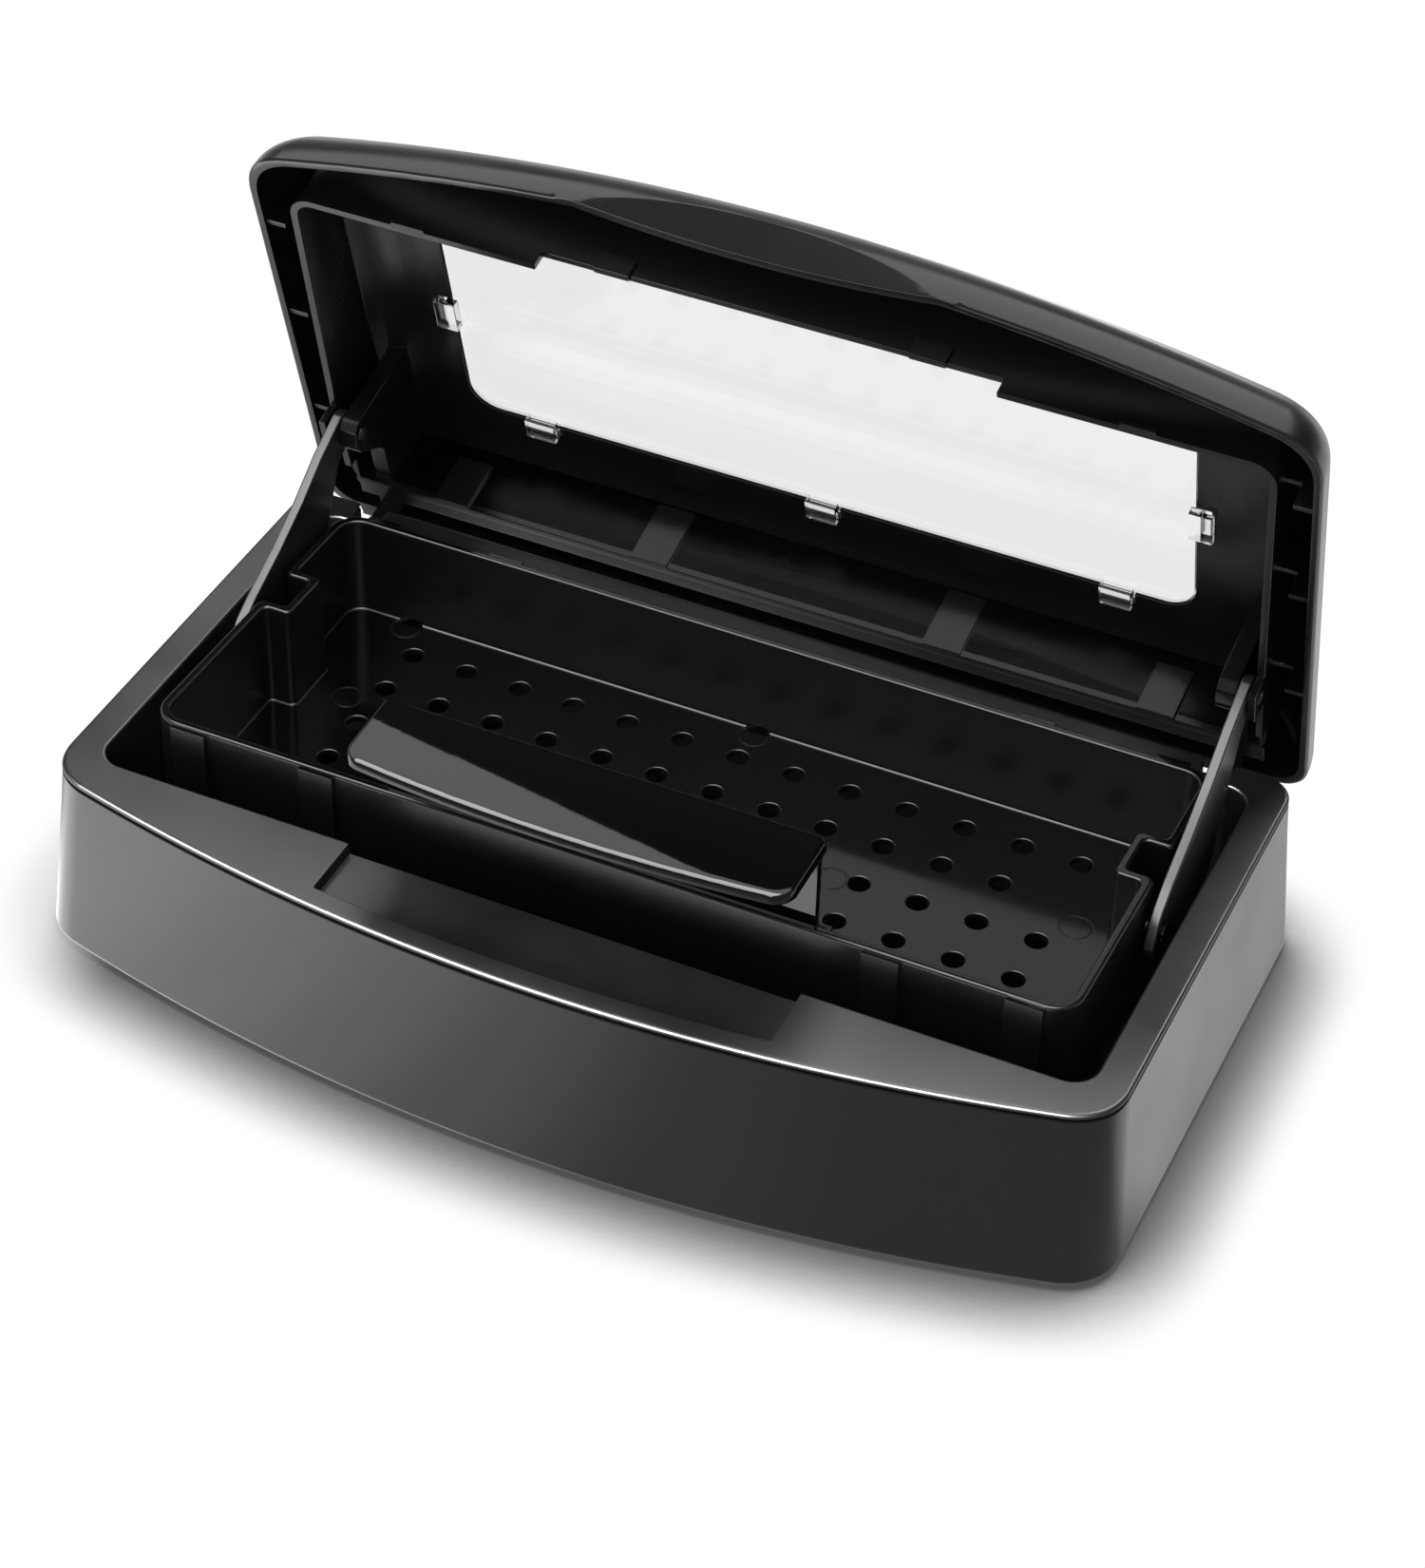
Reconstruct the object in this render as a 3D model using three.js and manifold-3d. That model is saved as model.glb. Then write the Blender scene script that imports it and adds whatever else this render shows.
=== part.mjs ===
// Lift-tray soaking and disinfection box for hairdressing tools.
// A two-piece base (outer shell with a deck-and-tank moulding), a domed lid with a
// clear window on two steel hinge pins, and a perforated tool tray that rises as the
// lid opens. The pieces stand in their open position: lid up, tray lifted.
// Units are millimetres. +X is the user's right, +Y points to the back, +Z is up.
// The origin is on the table under the middle of the open box.
import * as THREE from "three";
import { mergeVertices } from "three/addons/utils/BufferGeometryUtils.js";
import Module from "manifold-3d";

const wasm = await Module();
wasm.setup();

// ---------------------------------------------------------------- shared sizes
// box outline at deck height
const HALF_W = 125; // half width of the deck
const FRONT_CORNER = 57; // distance of the front corners from the X axis
const BOW = 17.1; // how far the front bows out past its corners
const FRONT = FRONT_CORNER + BOW; // distance of the front middle from the X axis
const BACK = 59.6; // distance of the back edge from the X axis
const R_FRONT = 9.5; // plan radius of the front corners
const R_BACK = 7; // plan radius of the back corners
const DECK_Z = 44.7; // top of the deck
const DECK_T = 1.4; // thickness of the deck plate
const DECK_UNDER = DECK_Z - DECK_T;
const FLOOR_T = 1.2; // floor of the outer shell

// tank opening
const OPEN_X = 117.1; // half width
const OPEN_FRONT = -50;
const OPEN_BACK = 52.3;
const TANK_T = 2; // tank wall

// hinge; points in side view are given as { y, z }
const HINGE = { y: 57.8, z: 33.9 };
const LID_ANGLE = THREE.MathUtils.degToRad(74.9); // opening angle
const PIN_R = 1.25;
const LUG_X0 = 104;
const LUG_X1 = 110;
const NOTCH_GAP = 0.7; // between a lug and its slot
const SLOT_X0 = LUG_X0 - NOTCH_GAP;
const SLOT_X1 = LUG_X1 + NOTCH_GAP;
const SLOT_FRONT = OPEN_BACK + TANK_T + 0.2;
const SLOT_BACK = 70; // clear of the back wall
const BOSS_T = 2.8; // wall beside the slot
const BOSS_X0 = SLOT_X0 - BOSS_T;
const BOSS_X1 = SLOT_X1 + BOSS_T;

// feet and screws
const FOOT_X = 104;
const FEET = [
  ["foot_front_left", -FOOT_X, -46],
  ["foot_front_right", FOOT_X, -46],
  ["foot_back_left", -FOOT_X, 44],
  ["foot_back_right", FOOT_X, 44],
]; // name, x, y
const SCREW_X = 75;
const SCREW_Y = -59;
const SCREWS = [
  ["screw_left", -SCREW_X],
  ["screw_centre", 0],
  ["screw_right", SCREW_X],
]; // name, x

// lift arm pin, with the lid closed
const ARM_PIVOT = { y: 22.5, z: 39.5 };
const ARM_PIN_R = 1.5;
const ARM_HOLE_R = ARM_PIN_R + 0.25;

const SIDES = [
  ["left", -1],
  ["right", 1],
];
const FAR = 200; // beyond the whole box

// ---------------------------------------------------------------- finishes
const BLACK = 0x1b1b1c;
const STEEL = 0xa9abad;
const FINISH = {
  shell: { color: BLACK, roughness: 0.42 },
  deckAndArm: { color: BLACK, roughness: 0.4 },
  handle: { color: BLACK, roughness: 0.22 },
  tray: { color: 0x161617, roughness: 0.42 },
  rubber: { color: 0x232323, roughness: 0.85 },
  fastener: { color: STEEL, roughness: 0.35, metalness: 0.9 },
  pin: { color: STEEL, roughness: 0.3, metalness: 0.95 },
  clear: { color: 0xf2f5f7, roughness: 0.08, transparent: true, opacity: 0.3 },
};

function piece(name, shape, finish) {
  const { vertProperties, triVerts } = shape.getMesh();
  const geometry = new THREE.BufferGeometry();
  const positions = new Float32Array(vertProperties);
  geometry.setAttribute("position", new THREE.BufferAttribute(positions, 3));
  geometry.setIndex(new THREE.BufferAttribute(new Uint32Array(triVerts), 1));
  geometry.computeVertexNormals();
  const mesh = new THREE.Mesh(geometry, new THREE.MeshStandardMaterial(finish));
  mesh.name = name;
  return mesh;
}

// ---------------------------------------------------------------- solids
function solid(geometry) {
  // only positions may differ between vertices, or they would not merge
  geometry.deleteAttribute("normal");
  geometry.deleteAttribute("uv");
  const merged = mergeVertices(geometry, 1e-4);
  return new wasm.Manifold(
    new wasm.Mesh({
      numProp: 3,
      vertProperties: new Float32Array(merged.attributes.position.array),
      triVerts: new Uint32Array(merged.index.array),
    }),
  );
}

const add = (...shapes) => shapes.reduce((sum, shape) => sum.add(shape));
const cut = (body, ...tools) => tools.reduce((rest, tool) => rest.subtract(tool), body);

// moves every vertex of a geometry to the place that move(x, y, z) returns
function reshape(geometry, move) {
  const position = geometry.attributes.position;
  for (let i = 0; i < position.count; i++)
    position.setXYZ(i, ...move(position.getX(i), position.getY(i), position.getZ(i)));
  return geometry;
}

function boxGeometry(x0, x1, y0, y1, z0, z1) {
  const geometry = new THREE.BoxGeometry(x1 - x0, y1 - y0, z1 - z0);
  return geometry.translate((x0 + x1) / 2, (y0 + y1) / 2, (z0 + z1) / 2);
}

const box = (...limits) => solid(boxGeometry(...limits));

// a round bar along X
function barX(x0, x1, { y, z }, radius, segments = 16) {
  const geometry = new THREE.CylinderGeometry(radius, radius, x1 - x0, segments);
  geometry.rotateZ(-Math.PI / 2);
  return solid(geometry.translate((x0 + x1) / 2, y, z));
}

function barZ(x, y, z0, z1, radius, segments = 20) {
  const geometry = new THREE.CylinderGeometry(radius, radius, z1 - z0, segments);
  geometry.rotateX(Math.PI / 2);
  return solid(geometry.translate(x, y, (z0 + z1) / 2));
}

// X limits on the right (side = 1) or mirrored to the left (side = -1)
const span = (side, x0, x1) => (side > 0 ? [x0, x1] : [-x1, -x0]);
const sideBox = (side, x0, x1, ...limits) => box(...span(side, x0, x1), ...limits);
const sideBar = (side, x0, x1, ...rest) => barX(...span(side, x0, x1), ...rest);

const vectors = (points) => points.map(([x, y]) => new THREE.Vector2(x, y));

// a prism standing on a plan outline
function prismGeometry(points, z0, z1, steps = 1) {
  const geometry = new THREE.ExtrudeGeometry(new THREE.Shape(vectors(points)), {
    depth: z1 - z0,
    steps,
    bevelEnabled: false,
  });
  return geometry.translate(0, 0, z0);
}

const prism = (...args) => solid(prismGeometry(...args));

// a plate with its outline in the YZ plane, between two X positions
function sidePlate(side, x0, x1, yzPoints) {
  const [left, right] = span(side, x0, x1);
  const geometry = prismGeometry(yzPoints, 0, right - left);
  return solid(reshape(geometry, (y, z, x) => [x + left, y, z]));
}

// a turned part about a vertical axis, from [radius, z] pairs
function turned(profile, x, y, segments) {
  const geometry = new THREE.LatheGeometry(vectors(profile), segments);
  geometry.rotateX(Math.PI / 2);
  return solid(geometry.translate(x, y, 0));
}

// ---------------------------------------------------------------- outlines
// Outlines are lists of [x, y] pairs.
// points of an arc between two angles in degrees
function arc(centreX, centreY, radius, from, to, steps) {
  const points = [];
  for (let i = 0; i <= steps; i++) {
    const angle = ((from + ((to - from) * i) / steps) * Math.PI) / 180;
    points.push([centreX + radius * Math.cos(angle), centreY + radius * Math.sin(angle)]);
  }
  return points;
}

// a right half, from front to back, followed by its mirror image on the left
const mirrored = (right) => [...right, ...right.map(([x, y]) => [-x, y]).reverse()];

// a line from left to right whose y follows yAt(x)
function curveAcross(halfWidth, steps, yAt) {
  const points = [];
  for (let i = 0; i <= steps; i++) {
    const x = -halfWidth + (2 * halfWidth * i) / steps;
    points.push([x, yAt(x)]);
  }
  return points;
}

function roundedRect(halfWidth, front, back, radius) {
  const x = halfWidth - radius;
  return mirrored([
    ...arc(x, front + radius, radius, -90, 0, 5),
    ...arc(x, back - radius, radius, 0, 90, 5),
  ]);
}

// plan of the box at deck height: bowed front, straight sides and back
function boxOutline() {
  const frontAt = (x) => -(FRONT_CORNER + BOW * (1 - (x / HALF_W) ** 2));
  const bowEnd = HALF_W - R_FRONT;
  const cornerY = frontAt(HALF_W) + 0.6;
  const frontCorner = new THREE.QuadraticBezierCurve(
    new THREE.Vector2(bowEnd, frontAt(bowEnd)),
    new THREE.Vector2(HALF_W, cornerY),
    new THREE.Vector2(HALF_W, cornerY + R_FRONT),
  );
  return [
    ...curveAcross(bowEnd, 22, frontAt),
    ...mirrored([
      // the bow already holds the first point of the corner
      ...frontCorner.getPoints(6).slice(1).map((point) => point.toArray()),
      ...arc(HALF_W - R_BACK, BACK - R_BACK, R_BACK, 0, 90, 5),
    ]),
  ];
}

// a height and how far the sides, front and back stand out from the box outline there
const level = (z, side, front = side, back = side) => ({ z, side, front, back });

// stack of copies of the box outline, one for each level
function loft(levels) {
  const steps = levels.length - 1;
  const geometry = prismGeometry(boxOutline(), 0, 1, steps);
  return solid(
    reshape(geometry, (x, y, z) => {
      const at = levels[Math.round(z * steps)];
      return [
        (x * (HALF_W + at.side)) / HALF_W,
        y < 0 ? (y * (FRONT + at.front)) / FRONT : (y * (BACK + at.back)) / BACK,
        at.z,
      ];
    }),
  );
}

// ---------------------------------------------------------------- base shell
const PART_LINE = 0.4; // groove between deck moulding and shell
const SHELL_T = 2.2; // wall
const SHELL_TOP = DECK_UNDER - PART_LINE;
const FLARE = { side: 3.2, front: 5.5, back: 2.4 }; // how much the foot stands out

// outside of the shell at height z, moved inwards by inset
function shellLevel(z, inset = 0) {
  const drop = 1 - z / DECK_Z;
  return level(
    z,
    FLARE.side * drop - inset,
    FLARE.front * drop - inset,
    FLARE.back * drop - inset,
  );
}

function baseShell() {
  let shell = cut(
    loft([shellLevel(0, 0.6), shellLevel(0.8), shellLevel(SHELL_TOP)]),
    loft([shellLevel(FLOOR_T, SHELL_T), shellLevel(SHELL_TOP + 1, SHELL_T)]),
  );
  const outer = loft([shellLevel(0), shellLevel(SHELL_TOP)]);
  for (const [, side] of SIDES) {
    // block inside the back wall; the lug slot splits it into two hinge bosses
    const bossFront = OPEN_BACK + TANK_T + 0.4;
    const block = sideBox(side, BOSS_X0, BOSS_X1, bossFront, 64, 27, SHELL_TOP);
    shell = cut(
      add(shell, block.intersect(outer)),
      sideBox(side, SLOT_X0, SLOT_X1, SLOT_FRONT, SLOT_BACK, HINGE.z - 4.2, 60),
      sideBar(side, LUG_X0 - 6, LUG_X1 + 6, HINGE, PIN_R + 0.15),
    );
  }
  // holes for the screws and for the stems of the feet
  return cut(
    shell,
    ...SCREWS.map(([, x]) => barZ(x, SCREW_Y, -1, 3, 1.9, 14)),
    ...FEET.map(([, x, y]) => barZ(x, y, -1, 3, 2.3, 14)),
  );
}

// ---------------------------------------------------------------- deck and tank
const TANK_FLOOR = 3.2; // top of the tank floor
const TANK_UNDER = 1.5; // underside of the tank floor
const TANK_R = 6; // plan radius of the opening
const JOIN_Z = DECK_UNDER + 0.5; // parts under the deck run up into the plate
const RECESS_X = 53.3; // half width of the finger recess under the handle
const RECESS_FRONT = -66; // at the corners of the recess
const RECESS_Z = 41.6; // floor of the recess

const tub = (wall, z0, z1) =>
  prism(
    roundedRect(OPEN_X + wall, OPEN_FRONT - wall, OPEN_BACK + wall, TANK_R + wall),
    z0,
    z1,
  );

// finger recess, its front bowed like the front of the box
function recess(sideWall, frontWall, back, z0, z1) {
  const halfWidth = RECESS_X + sideWall;
  const frontAt = (x) =>
    RECESS_FRONT - frontWall - BOW * ((RECESS_X / HALF_W) ** 2 - (x / HALF_W) ** 2);
  const plan = [...curveAcross(halfWidth, 10, frontAt), ...mirrored([[halfWidth, back]])];
  return prism(plan, z0, z1);
}

function tankDeck() {
  const plate = loft([
    level(DECK_UNDER, 0.25, 0.3, 0.1),
    level(DECK_Z - 1.1, 0.15, 0.2, 0.05),
    level(DECK_Z - 0.35, -0.15, -0.12, -0.2),
    level(DECK_Z, -0.75),
  ]);
  // each screw has a round boss and a web back to the tank
  const bosses = SCREWS.flatMap(([, x]) => {
    const top = x === 0 ? RECESS_Z - 1 : JOIN_Z;
    return [
      barZ(x, SCREW_Y, TANK_UNDER, top, 3.4),
      box(x - 1, x + 1, SCREW_Y, OPEN_FRONT - 1, TANK_UNDER, top),
    ];
  });
  return cut(
    add(
      plate,
      tub(TANK_T, TANK_UNDER, JOIN_Z),
      recess(2, 1.8, OPEN_FRONT - 0.5, RECESS_Z - 2, JOIN_Z),
      ...bosses,
    ),
    tub(0, TANK_FLOOR, DECK_Z + 1),
    recess(0, 0, OPEN_FRONT + 1, RECESS_Z, DECK_Z + 1),
    ...SCREWS.map(([, x]) => barZ(x, SCREW_Y, 0, 12, 1.25, 12)),
    // hinge lug slots
    ...SIDES.map(([, side]) =>
      sideBox(side, SLOT_X0, SLOT_X1, SLOT_FRONT, SLOT_BACK, DECK_UNDER - 1, DECK_Z + 1),
    ),
  );
}

// ---------------------------------------------------------------- feet, screws, hinge pins
const FOOT_H = 1.2; // how far the feet stand out below the shell
const FOOT_PROFILE = [
  [0, -FOOT_H],
  [5.4, -FOOT_H],
  [6, -FOOT_H + 0.5],
  [6, -0.3],
  [2, -0.3],
  [2, FLOOR_T - 0.1],
  [0, FLOOR_T - 0.1],
]; // radius, z
const SCREW_PROFILE = [
  [0, -1],
  [2.2, -1],
  [2.8, -0.7],
  [2.8, -0.3],
  [1.1, -0.3],
  [1.1, 9.5],
  [0, 10.6],
]; // radius, z
// cross slot of the screws
const CROSS = { halfLength: 1.5, halfWidth: 0.3, z0: -1.5, z1: -0.6 };

function screw(x) {
  const crossArm = (halfX, halfY) =>
    box(x - halfX, x + halfX, SCREW_Y - halfY, SCREW_Y + halfY, CROSS.z0, CROSS.z1);
  const cross = add(
    crossArm(CROSS.halfLength, CROSS.halfWidth),
    crossArm(CROSS.halfWidth, CROSS.halfLength),
  );
  return cut(turned(SCREW_PROFILE, x, SCREW_Y, 14), cross);
}

const hingePin = (side) => sideBar(side, BOSS_X0 + 0.2, BOSS_X1 - 0.2, HINGE, PIN_R, 18);

// ---------------------------------------------------------------- lid, drawn closed
const LID_Z = 45.1; // free edge
const LID_SHOULDER = 46.4; // where the dome begins
const LID_TOP = 66.7; // flat top around the window
const DOME_INSET = { side: 26, front: 30, back: 9 }; // of the flat top from the outline
const DOME_POWER = 2.12; // 2 would be an ellipse
const DOME_STEPS = 9;
const LID_T = 2;

// ribs inside the lid
const RIB_X = 115.3; // outside of the side ribs
const RIB_T = 1.7;
const RIB_FRONT = -48.3; // front face of the front rib
const RIB_Z = 42; // free edge of the front and side ribs
const RIB_R = 6; // outer plan radius of the rib frame
const RIB_TOP = 75; // above the dome, which trims the ribs
const REAR_WALL = 46.6; // front face of the rear inner wall
const REAR_WALL_Z = 44.6;
const NOTCH_X = 53.8; // notch in the front rib for the tray handle
const NOTCH_Z = 49;
const PAD_DEPTH = 1; // how far the locating pads reach into their wall
const FRONT_PADS = [
  [32.6, 41.1, NOTCH_Z - 0.9, 53],
  [81, 89, RIB_Z - 0.9, 46.5],
]; // x0, x1, z0, z1
const REAR_PADS = [
  [32.3, 41.8, REAR_WALL_Z, 61.5],
  [84.6, 93.6, REAR_WALL_Z, 58.5],
]; // x0, x1, z0, z1
const WEBS_Y = [-36.4, -7, 26];
const WEB_X1 = 124;
const WEB_HALF_T = 0.7;

// bracket boxes and bosses that carry the lift arms
const BRACKET_X0 = 106.1;
const BRACKET_X1 = 110.4;
const BRACKET_FRONT = 18;
const BRACKET_Z = 36.2; // lowest edge
const BRACKET_OUTLINE = [
  [BRACKET_FRONT, RIB_TOP], [BRACKET_FRONT, 40.4], [19.6, 36.9],
  [24.5, BRACKET_Z], [27, 37.6], [32, 43.5],
  [36, 46.5], [47.5, 46.5], [47.5, RIB_TOP],
]; // y, z

// window opening
const WIN_X = 91.2;
const WIN_FRONT = -34;
const WIN_BACK = 32.6;
const WIN_R = 7.5;
const HOOKS_X = [-72.5, 0, 72.5]; // snap hooks along the front and back edges
const HOOK_HALF_W = 3.8;
const SIDE_HOOK_Y = [-3.3, 5.3]; // limits of the hook on each side edge
const HOOK_NOTCH = 3.4; // depth of the hook notches beyond the opening
const HOOK_GAP = 0.4; // between a hook and the ends of its notch

// The dome is a quarter superellipse between the shoulder and the flat top.
function dome(inset, bottom) {
  const levels = [level(bottom, -inset), level(LID_SHOULDER, -inset)];
  const rise = LID_TOP - inset - LID_SHOULDER;
  const power = 2 / DOME_POWER;
  for (let i = 1; i <= DOME_STEPS; i++) {
    const angle = (i / DOME_STEPS) * (Math.PI / 2);
    const inward = 1 - Math.max(Math.cos(angle), 0) ** power;
    levels.push(
      level(
        LID_SHOULDER + rise * Math.sin(angle) ** power,
        -inset - (DOME_INSET.side - inset) * inward,
        -inset - (DOME_INSET.front - inset) * inward,
        -inset - (DOME_INSET.back - inset * 0.6) * inward,
      ),
    );
  }
  return loft(levels);
}

// block in front of the sloping face of the finger scoop in the front skirt
function scoopBlock(offset, front) {
  const halfWidth = 46;
  const slope = 0.46;
  const faceAt = (x) => -69.3 - 2.8 * (x / 39.9) ** 2 + offset;
  const plan = [...curveAcross(halfWidth, 16, faceAt), ...mirrored([[halfWidth, front]])];
  return solid(
    reshape(prismGeometry(plan, 40, 62), (x, y, z) => [x, y - (z - LID_Z) * slope, z]),
  );
}

// frame of ribs that drops into the opening of the base, and the rear inner wall
function ribFrame() {
  const frameBack = REAR_WALL + RIB_T + 1;
  const innerX = RIB_X - RIB_T;
  const innerFront = RIB_FRONT + RIB_T;
  const wallX = RIB_X - 0.5;
  const frame = cut(
    prism(roundedRect(RIB_X, RIB_FRONT, frameBack, RIB_R), RIB_Z, RIB_TOP),
    prism(roundedRect(innerX, innerFront, 80, RIB_R - RIB_T), 20, 90),
    box(-NOTCH_X, NOTCH_X, -60, -40, 30, NOTCH_Z),
    box(-FAR, FAR, REAR_WALL + RIB_T + 0.5, 90, 0, 100),
    box(-FAR, FAR, 40, 90, 0, REAR_WALL_Z),
  );
  return add(
    frame,
    box(-wallX, wallX, REAR_WALL, REAR_WALL + 1.9, REAR_WALL_Z, RIB_TOP),
    // bottom flange of the rear wall
    box(-wallX, wallX, REAR_WALL + 1.5, 53.2, LID_Z + 0.3, LID_Z + 2.1),
  );
}

// locating pads, webs and arm bracket on one side of the rib frame
function ribDetails(side) {
  const frontPads = FRONT_PADS.map(([x0, x1, ...heights]) =>
    sideBox(side, x0, x1, RIB_FRONT - 0.8, RIB_FRONT + PAD_DEPTH, ...heights),
  );
  const rearPads = REAR_PADS.map(([x0, x1, ...heights]) =>
    sideBox(side, x0, x1, REAR_WALL - 0.7, REAR_WALL + PAD_DEPTH, ...heights),
  );
  // webs between the side ribs and the skirt, deeper towards the skirt
  const webs = WEBS_Y.flatMap((y) => {
    const limits = [y - WEB_HALF_T, y + WEB_HALF_T];
    return [
      sideBox(side, RIB_X - 0.5, WEB_X1, ...limits, 52.5, RIB_TOP),
      sideBox(side, 118.4, WEB_X1, ...limits, 46.2, RIB_TOP),
    ];
  });
  return [
    ...frontPads,
    ...rearPads,
    ...webs,
    sidePlate(side, BRACKET_X0, BRACKET_X1, BRACKET_OUTLINE),
    // solid boss in the side rib around the arm pin
    sideBox(side, RIB_X - RIB_T, RIB_X, BRACKET_FRONT, 27, BRACKET_Z, 44),
  ];
}

function hingeLug(side) {
  const lugBox = (...limits) => sideBox(side, LUG_X0, LUG_X1, ...limits);
  return add(
    sideBar(side, LUG_X0, LUG_X1, HINGE, 2.9, 20),
    lugBox(HINGE.y - 2.9, HINGE.y + 1.6, HINGE.z, LID_Z + 1.6),
    lugBox(51.5, HINGE.y + 1.2, LID_Z + 0.3, LID_Z + 3.5),
    // small eave that hides the lug slot from above when the lid is open
    sideBox(side, LUG_X0 - 6, LUG_X1 + 6, 58, 62, LID_Z, LID_Z + 1.8),
  );
}

// window opening with notches for the snap hooks
function windowOpening() {
  const halfNotch = HOOK_HALF_W + HOOK_GAP;
  const limits = [60, 80]; // z, through the flat top
  const front = WIN_FRONT - HOOK_NOTCH;
  const back = WIN_BACK + HOOK_NOTCH;
  const sideX = WIN_X + HOOK_NOTCH;
  const [sideY0, sideY1] = SIDE_HOOK_Y;
  return add(
    prism(roundedRect(WIN_X, WIN_FRONT, WIN_BACK, WIN_R), ...limits),
    ...HOOKS_X.map((x) => box(x - halfNotch, x + halfNotch, front, back, ...limits)),
    box(-sideX, sideX, sideY0 - HOOK_GAP, sideY1 + HOOK_GAP, ...limits),
  );
}

function lidShell() {
  const outer = dome(0, 30);
  const below = box(-FAR, FAR, -FAR, FAR, 0, LID_Z);
  const skin = cut(outer, dome(LID_T, 29), below);
  // thicker wall behind the finger scoop
  const scoopWall = cut(scoopBlock(2.2, -90).intersect(outer), below);
  const ribs = add(ribFrame(), ...SIDES.flatMap(([, side]) => ribDetails(side)));
  let shell = add(skin, scoopWall, ribs.intersect(outer));
  for (const [, side] of SIDES)
    shell = cut(
      add(shell, hingeLug(side)),
      sideBar(side, LUG_X0 - 1, LUG_X1 + 1, HINGE, PIN_R + 0.2, 18),
      // hole for the arm pin through bracket and rib
      sideBar(side, 104, 117, ARM_PIVOT, ARM_HOLE_R, 14),
    );
  return cut(shell, scoopBlock(0, -100), windowOpening());
}

// clear window: cover plate, plug in the opening and snap hooks under its edge
function lidWindow() {
  const lip = 4; // overlap of the cover plate
  const gap = 0.35; // around the plug
  const plugTop = LID_TOP + 0.6;
  const hookTop = LID_TOP - LID_T - 0.3;
  const hookBottom = hookTop - 1.5;
  // places across the edge of the opening, positive outwards
  const stemIn = 1.4;
  const stemOut = 1.2;
  const toeOut = 4.2;

  const coverPlan = roundedRect(WIN_X + lip, WIN_FRONT - lip, WIN_BACK + lip, WIN_R + 3);
  const plugPlan = roundedRect(WIN_X - gap, WIN_FRONT + gap, WIN_BACK - gap, WIN_R - 0.3);
  const parts = [
    prism(coverPlan, LID_TOP + 0.35, LID_TOP + 1.85),
    prism(plugPlan, LID_TOP - 1.6, plugTop),
  ];
  for (const x of HOOKS_X)
    for (const [edge, outward] of [
      [WIN_BACK, 1],
      [WIN_FRONT, -1],
    ]) {
      const hookBox = (from, to, top) => {
        const y0 = edge + outward * from;
        const y1 = edge + outward * to;
        const limits = [Math.min(y0, y1), Math.max(y0, y1)];
        return box(x - HOOK_HALF_W, x + HOOK_HALF_W, ...limits, hookBottom, top);
      };
      parts.push(hookBox(-stemIn, stemOut, plugTop), hookBox(stemOut, toeOut, hookTop));
    }
  for (const [, side] of SIDES) {
    const hookBox = (from, to, top) =>
      sideBox(side, WIN_X + from, WIN_X + to, ...SIDE_HOOK_Y, hookBottom, top);
    parts.push(
      hookBox(-stemIn, stemOut, plugTop),
      hookBox(stemOut - 0.1, toeOut, hookTop),
    );
  }
  return add(...parts);
}

const armPivotPin = (side) =>
  sideBar(side, BRACKET_X0 + 0.3, RIB_X - 0.2, ARM_PIVOT, ARM_PIN_R);

// ---------------------------------------------------------------- lift arms, lid open
const ARM_X0 = 110.7;
const ARM_X1 = 113.2;
const ARM_TIP = { y: 5, z: 41 }; // lift roller
const ROLLER_X0 = 109.7; // inner end of the roller stud
const PIVOT_OPEN = opened(ARM_PIVOT);
const ARM_OUTLINE = [
  ...arc(PIVOT_OPEN.y, PIVOT_OPEN.z, 4.6, -60, 110, 8),
  // down the upper edge
  [42.6, 68.4], [33.2, 61.8], [22, 55.4], [10, 49.8],
  // round the roller end
  [4.6, 46.6], [2.4, 43.9], [0.2, 38.3], [1.6, 35.6], [6, 34.6],
  // along the lower edge and back up to the pivot
  [20, 32.2], [34, 30.4], [38.2, 33], [41.6, 42.5], [46.6, 53], [50.4, 62],
]; // y, z

// where a point of the closed lid stands when the lid is open
function opened({ y, z }) {
  const fromY = y - HINGE.y;
  const fromZ = z - HINGE.z;
  return {
    y: HINGE.y + Math.cos(LID_ANGLE) * fromY + Math.sin(LID_ANGLE) * fromZ,
    z: HINGE.z - Math.sin(LID_ANGLE) * fromY + Math.cos(LID_ANGLE) * fromZ,
  };
}

function liftArm(side) {
  const holes = [PIVOT_OPEN, ARM_TIP].map((at) =>
    sideBar(side, 109, 115, at, ARM_HOLE_R, 16),
  );
  return cut(sidePlate(side, ARM_X0, ARM_X1, ARM_OUTLINE), ...holes);
}

// stud riveted through the lower end of the arm, with a head on each face
function liftRoller(side) {
  return add(
    sideBar(side, ROLLER_X0, ARM_X1 + 0.5, ARM_TIP, ARM_PIN_R),
    sideBar(side, ARM_X1 + 0.3, ARM_X1 + 1.3, ARM_TIP, 2.6),
    sideBar(side, ROLLER_X0, ARM_X0 - 0.3, ARM_TIP, 2.4),
  );
}

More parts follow.
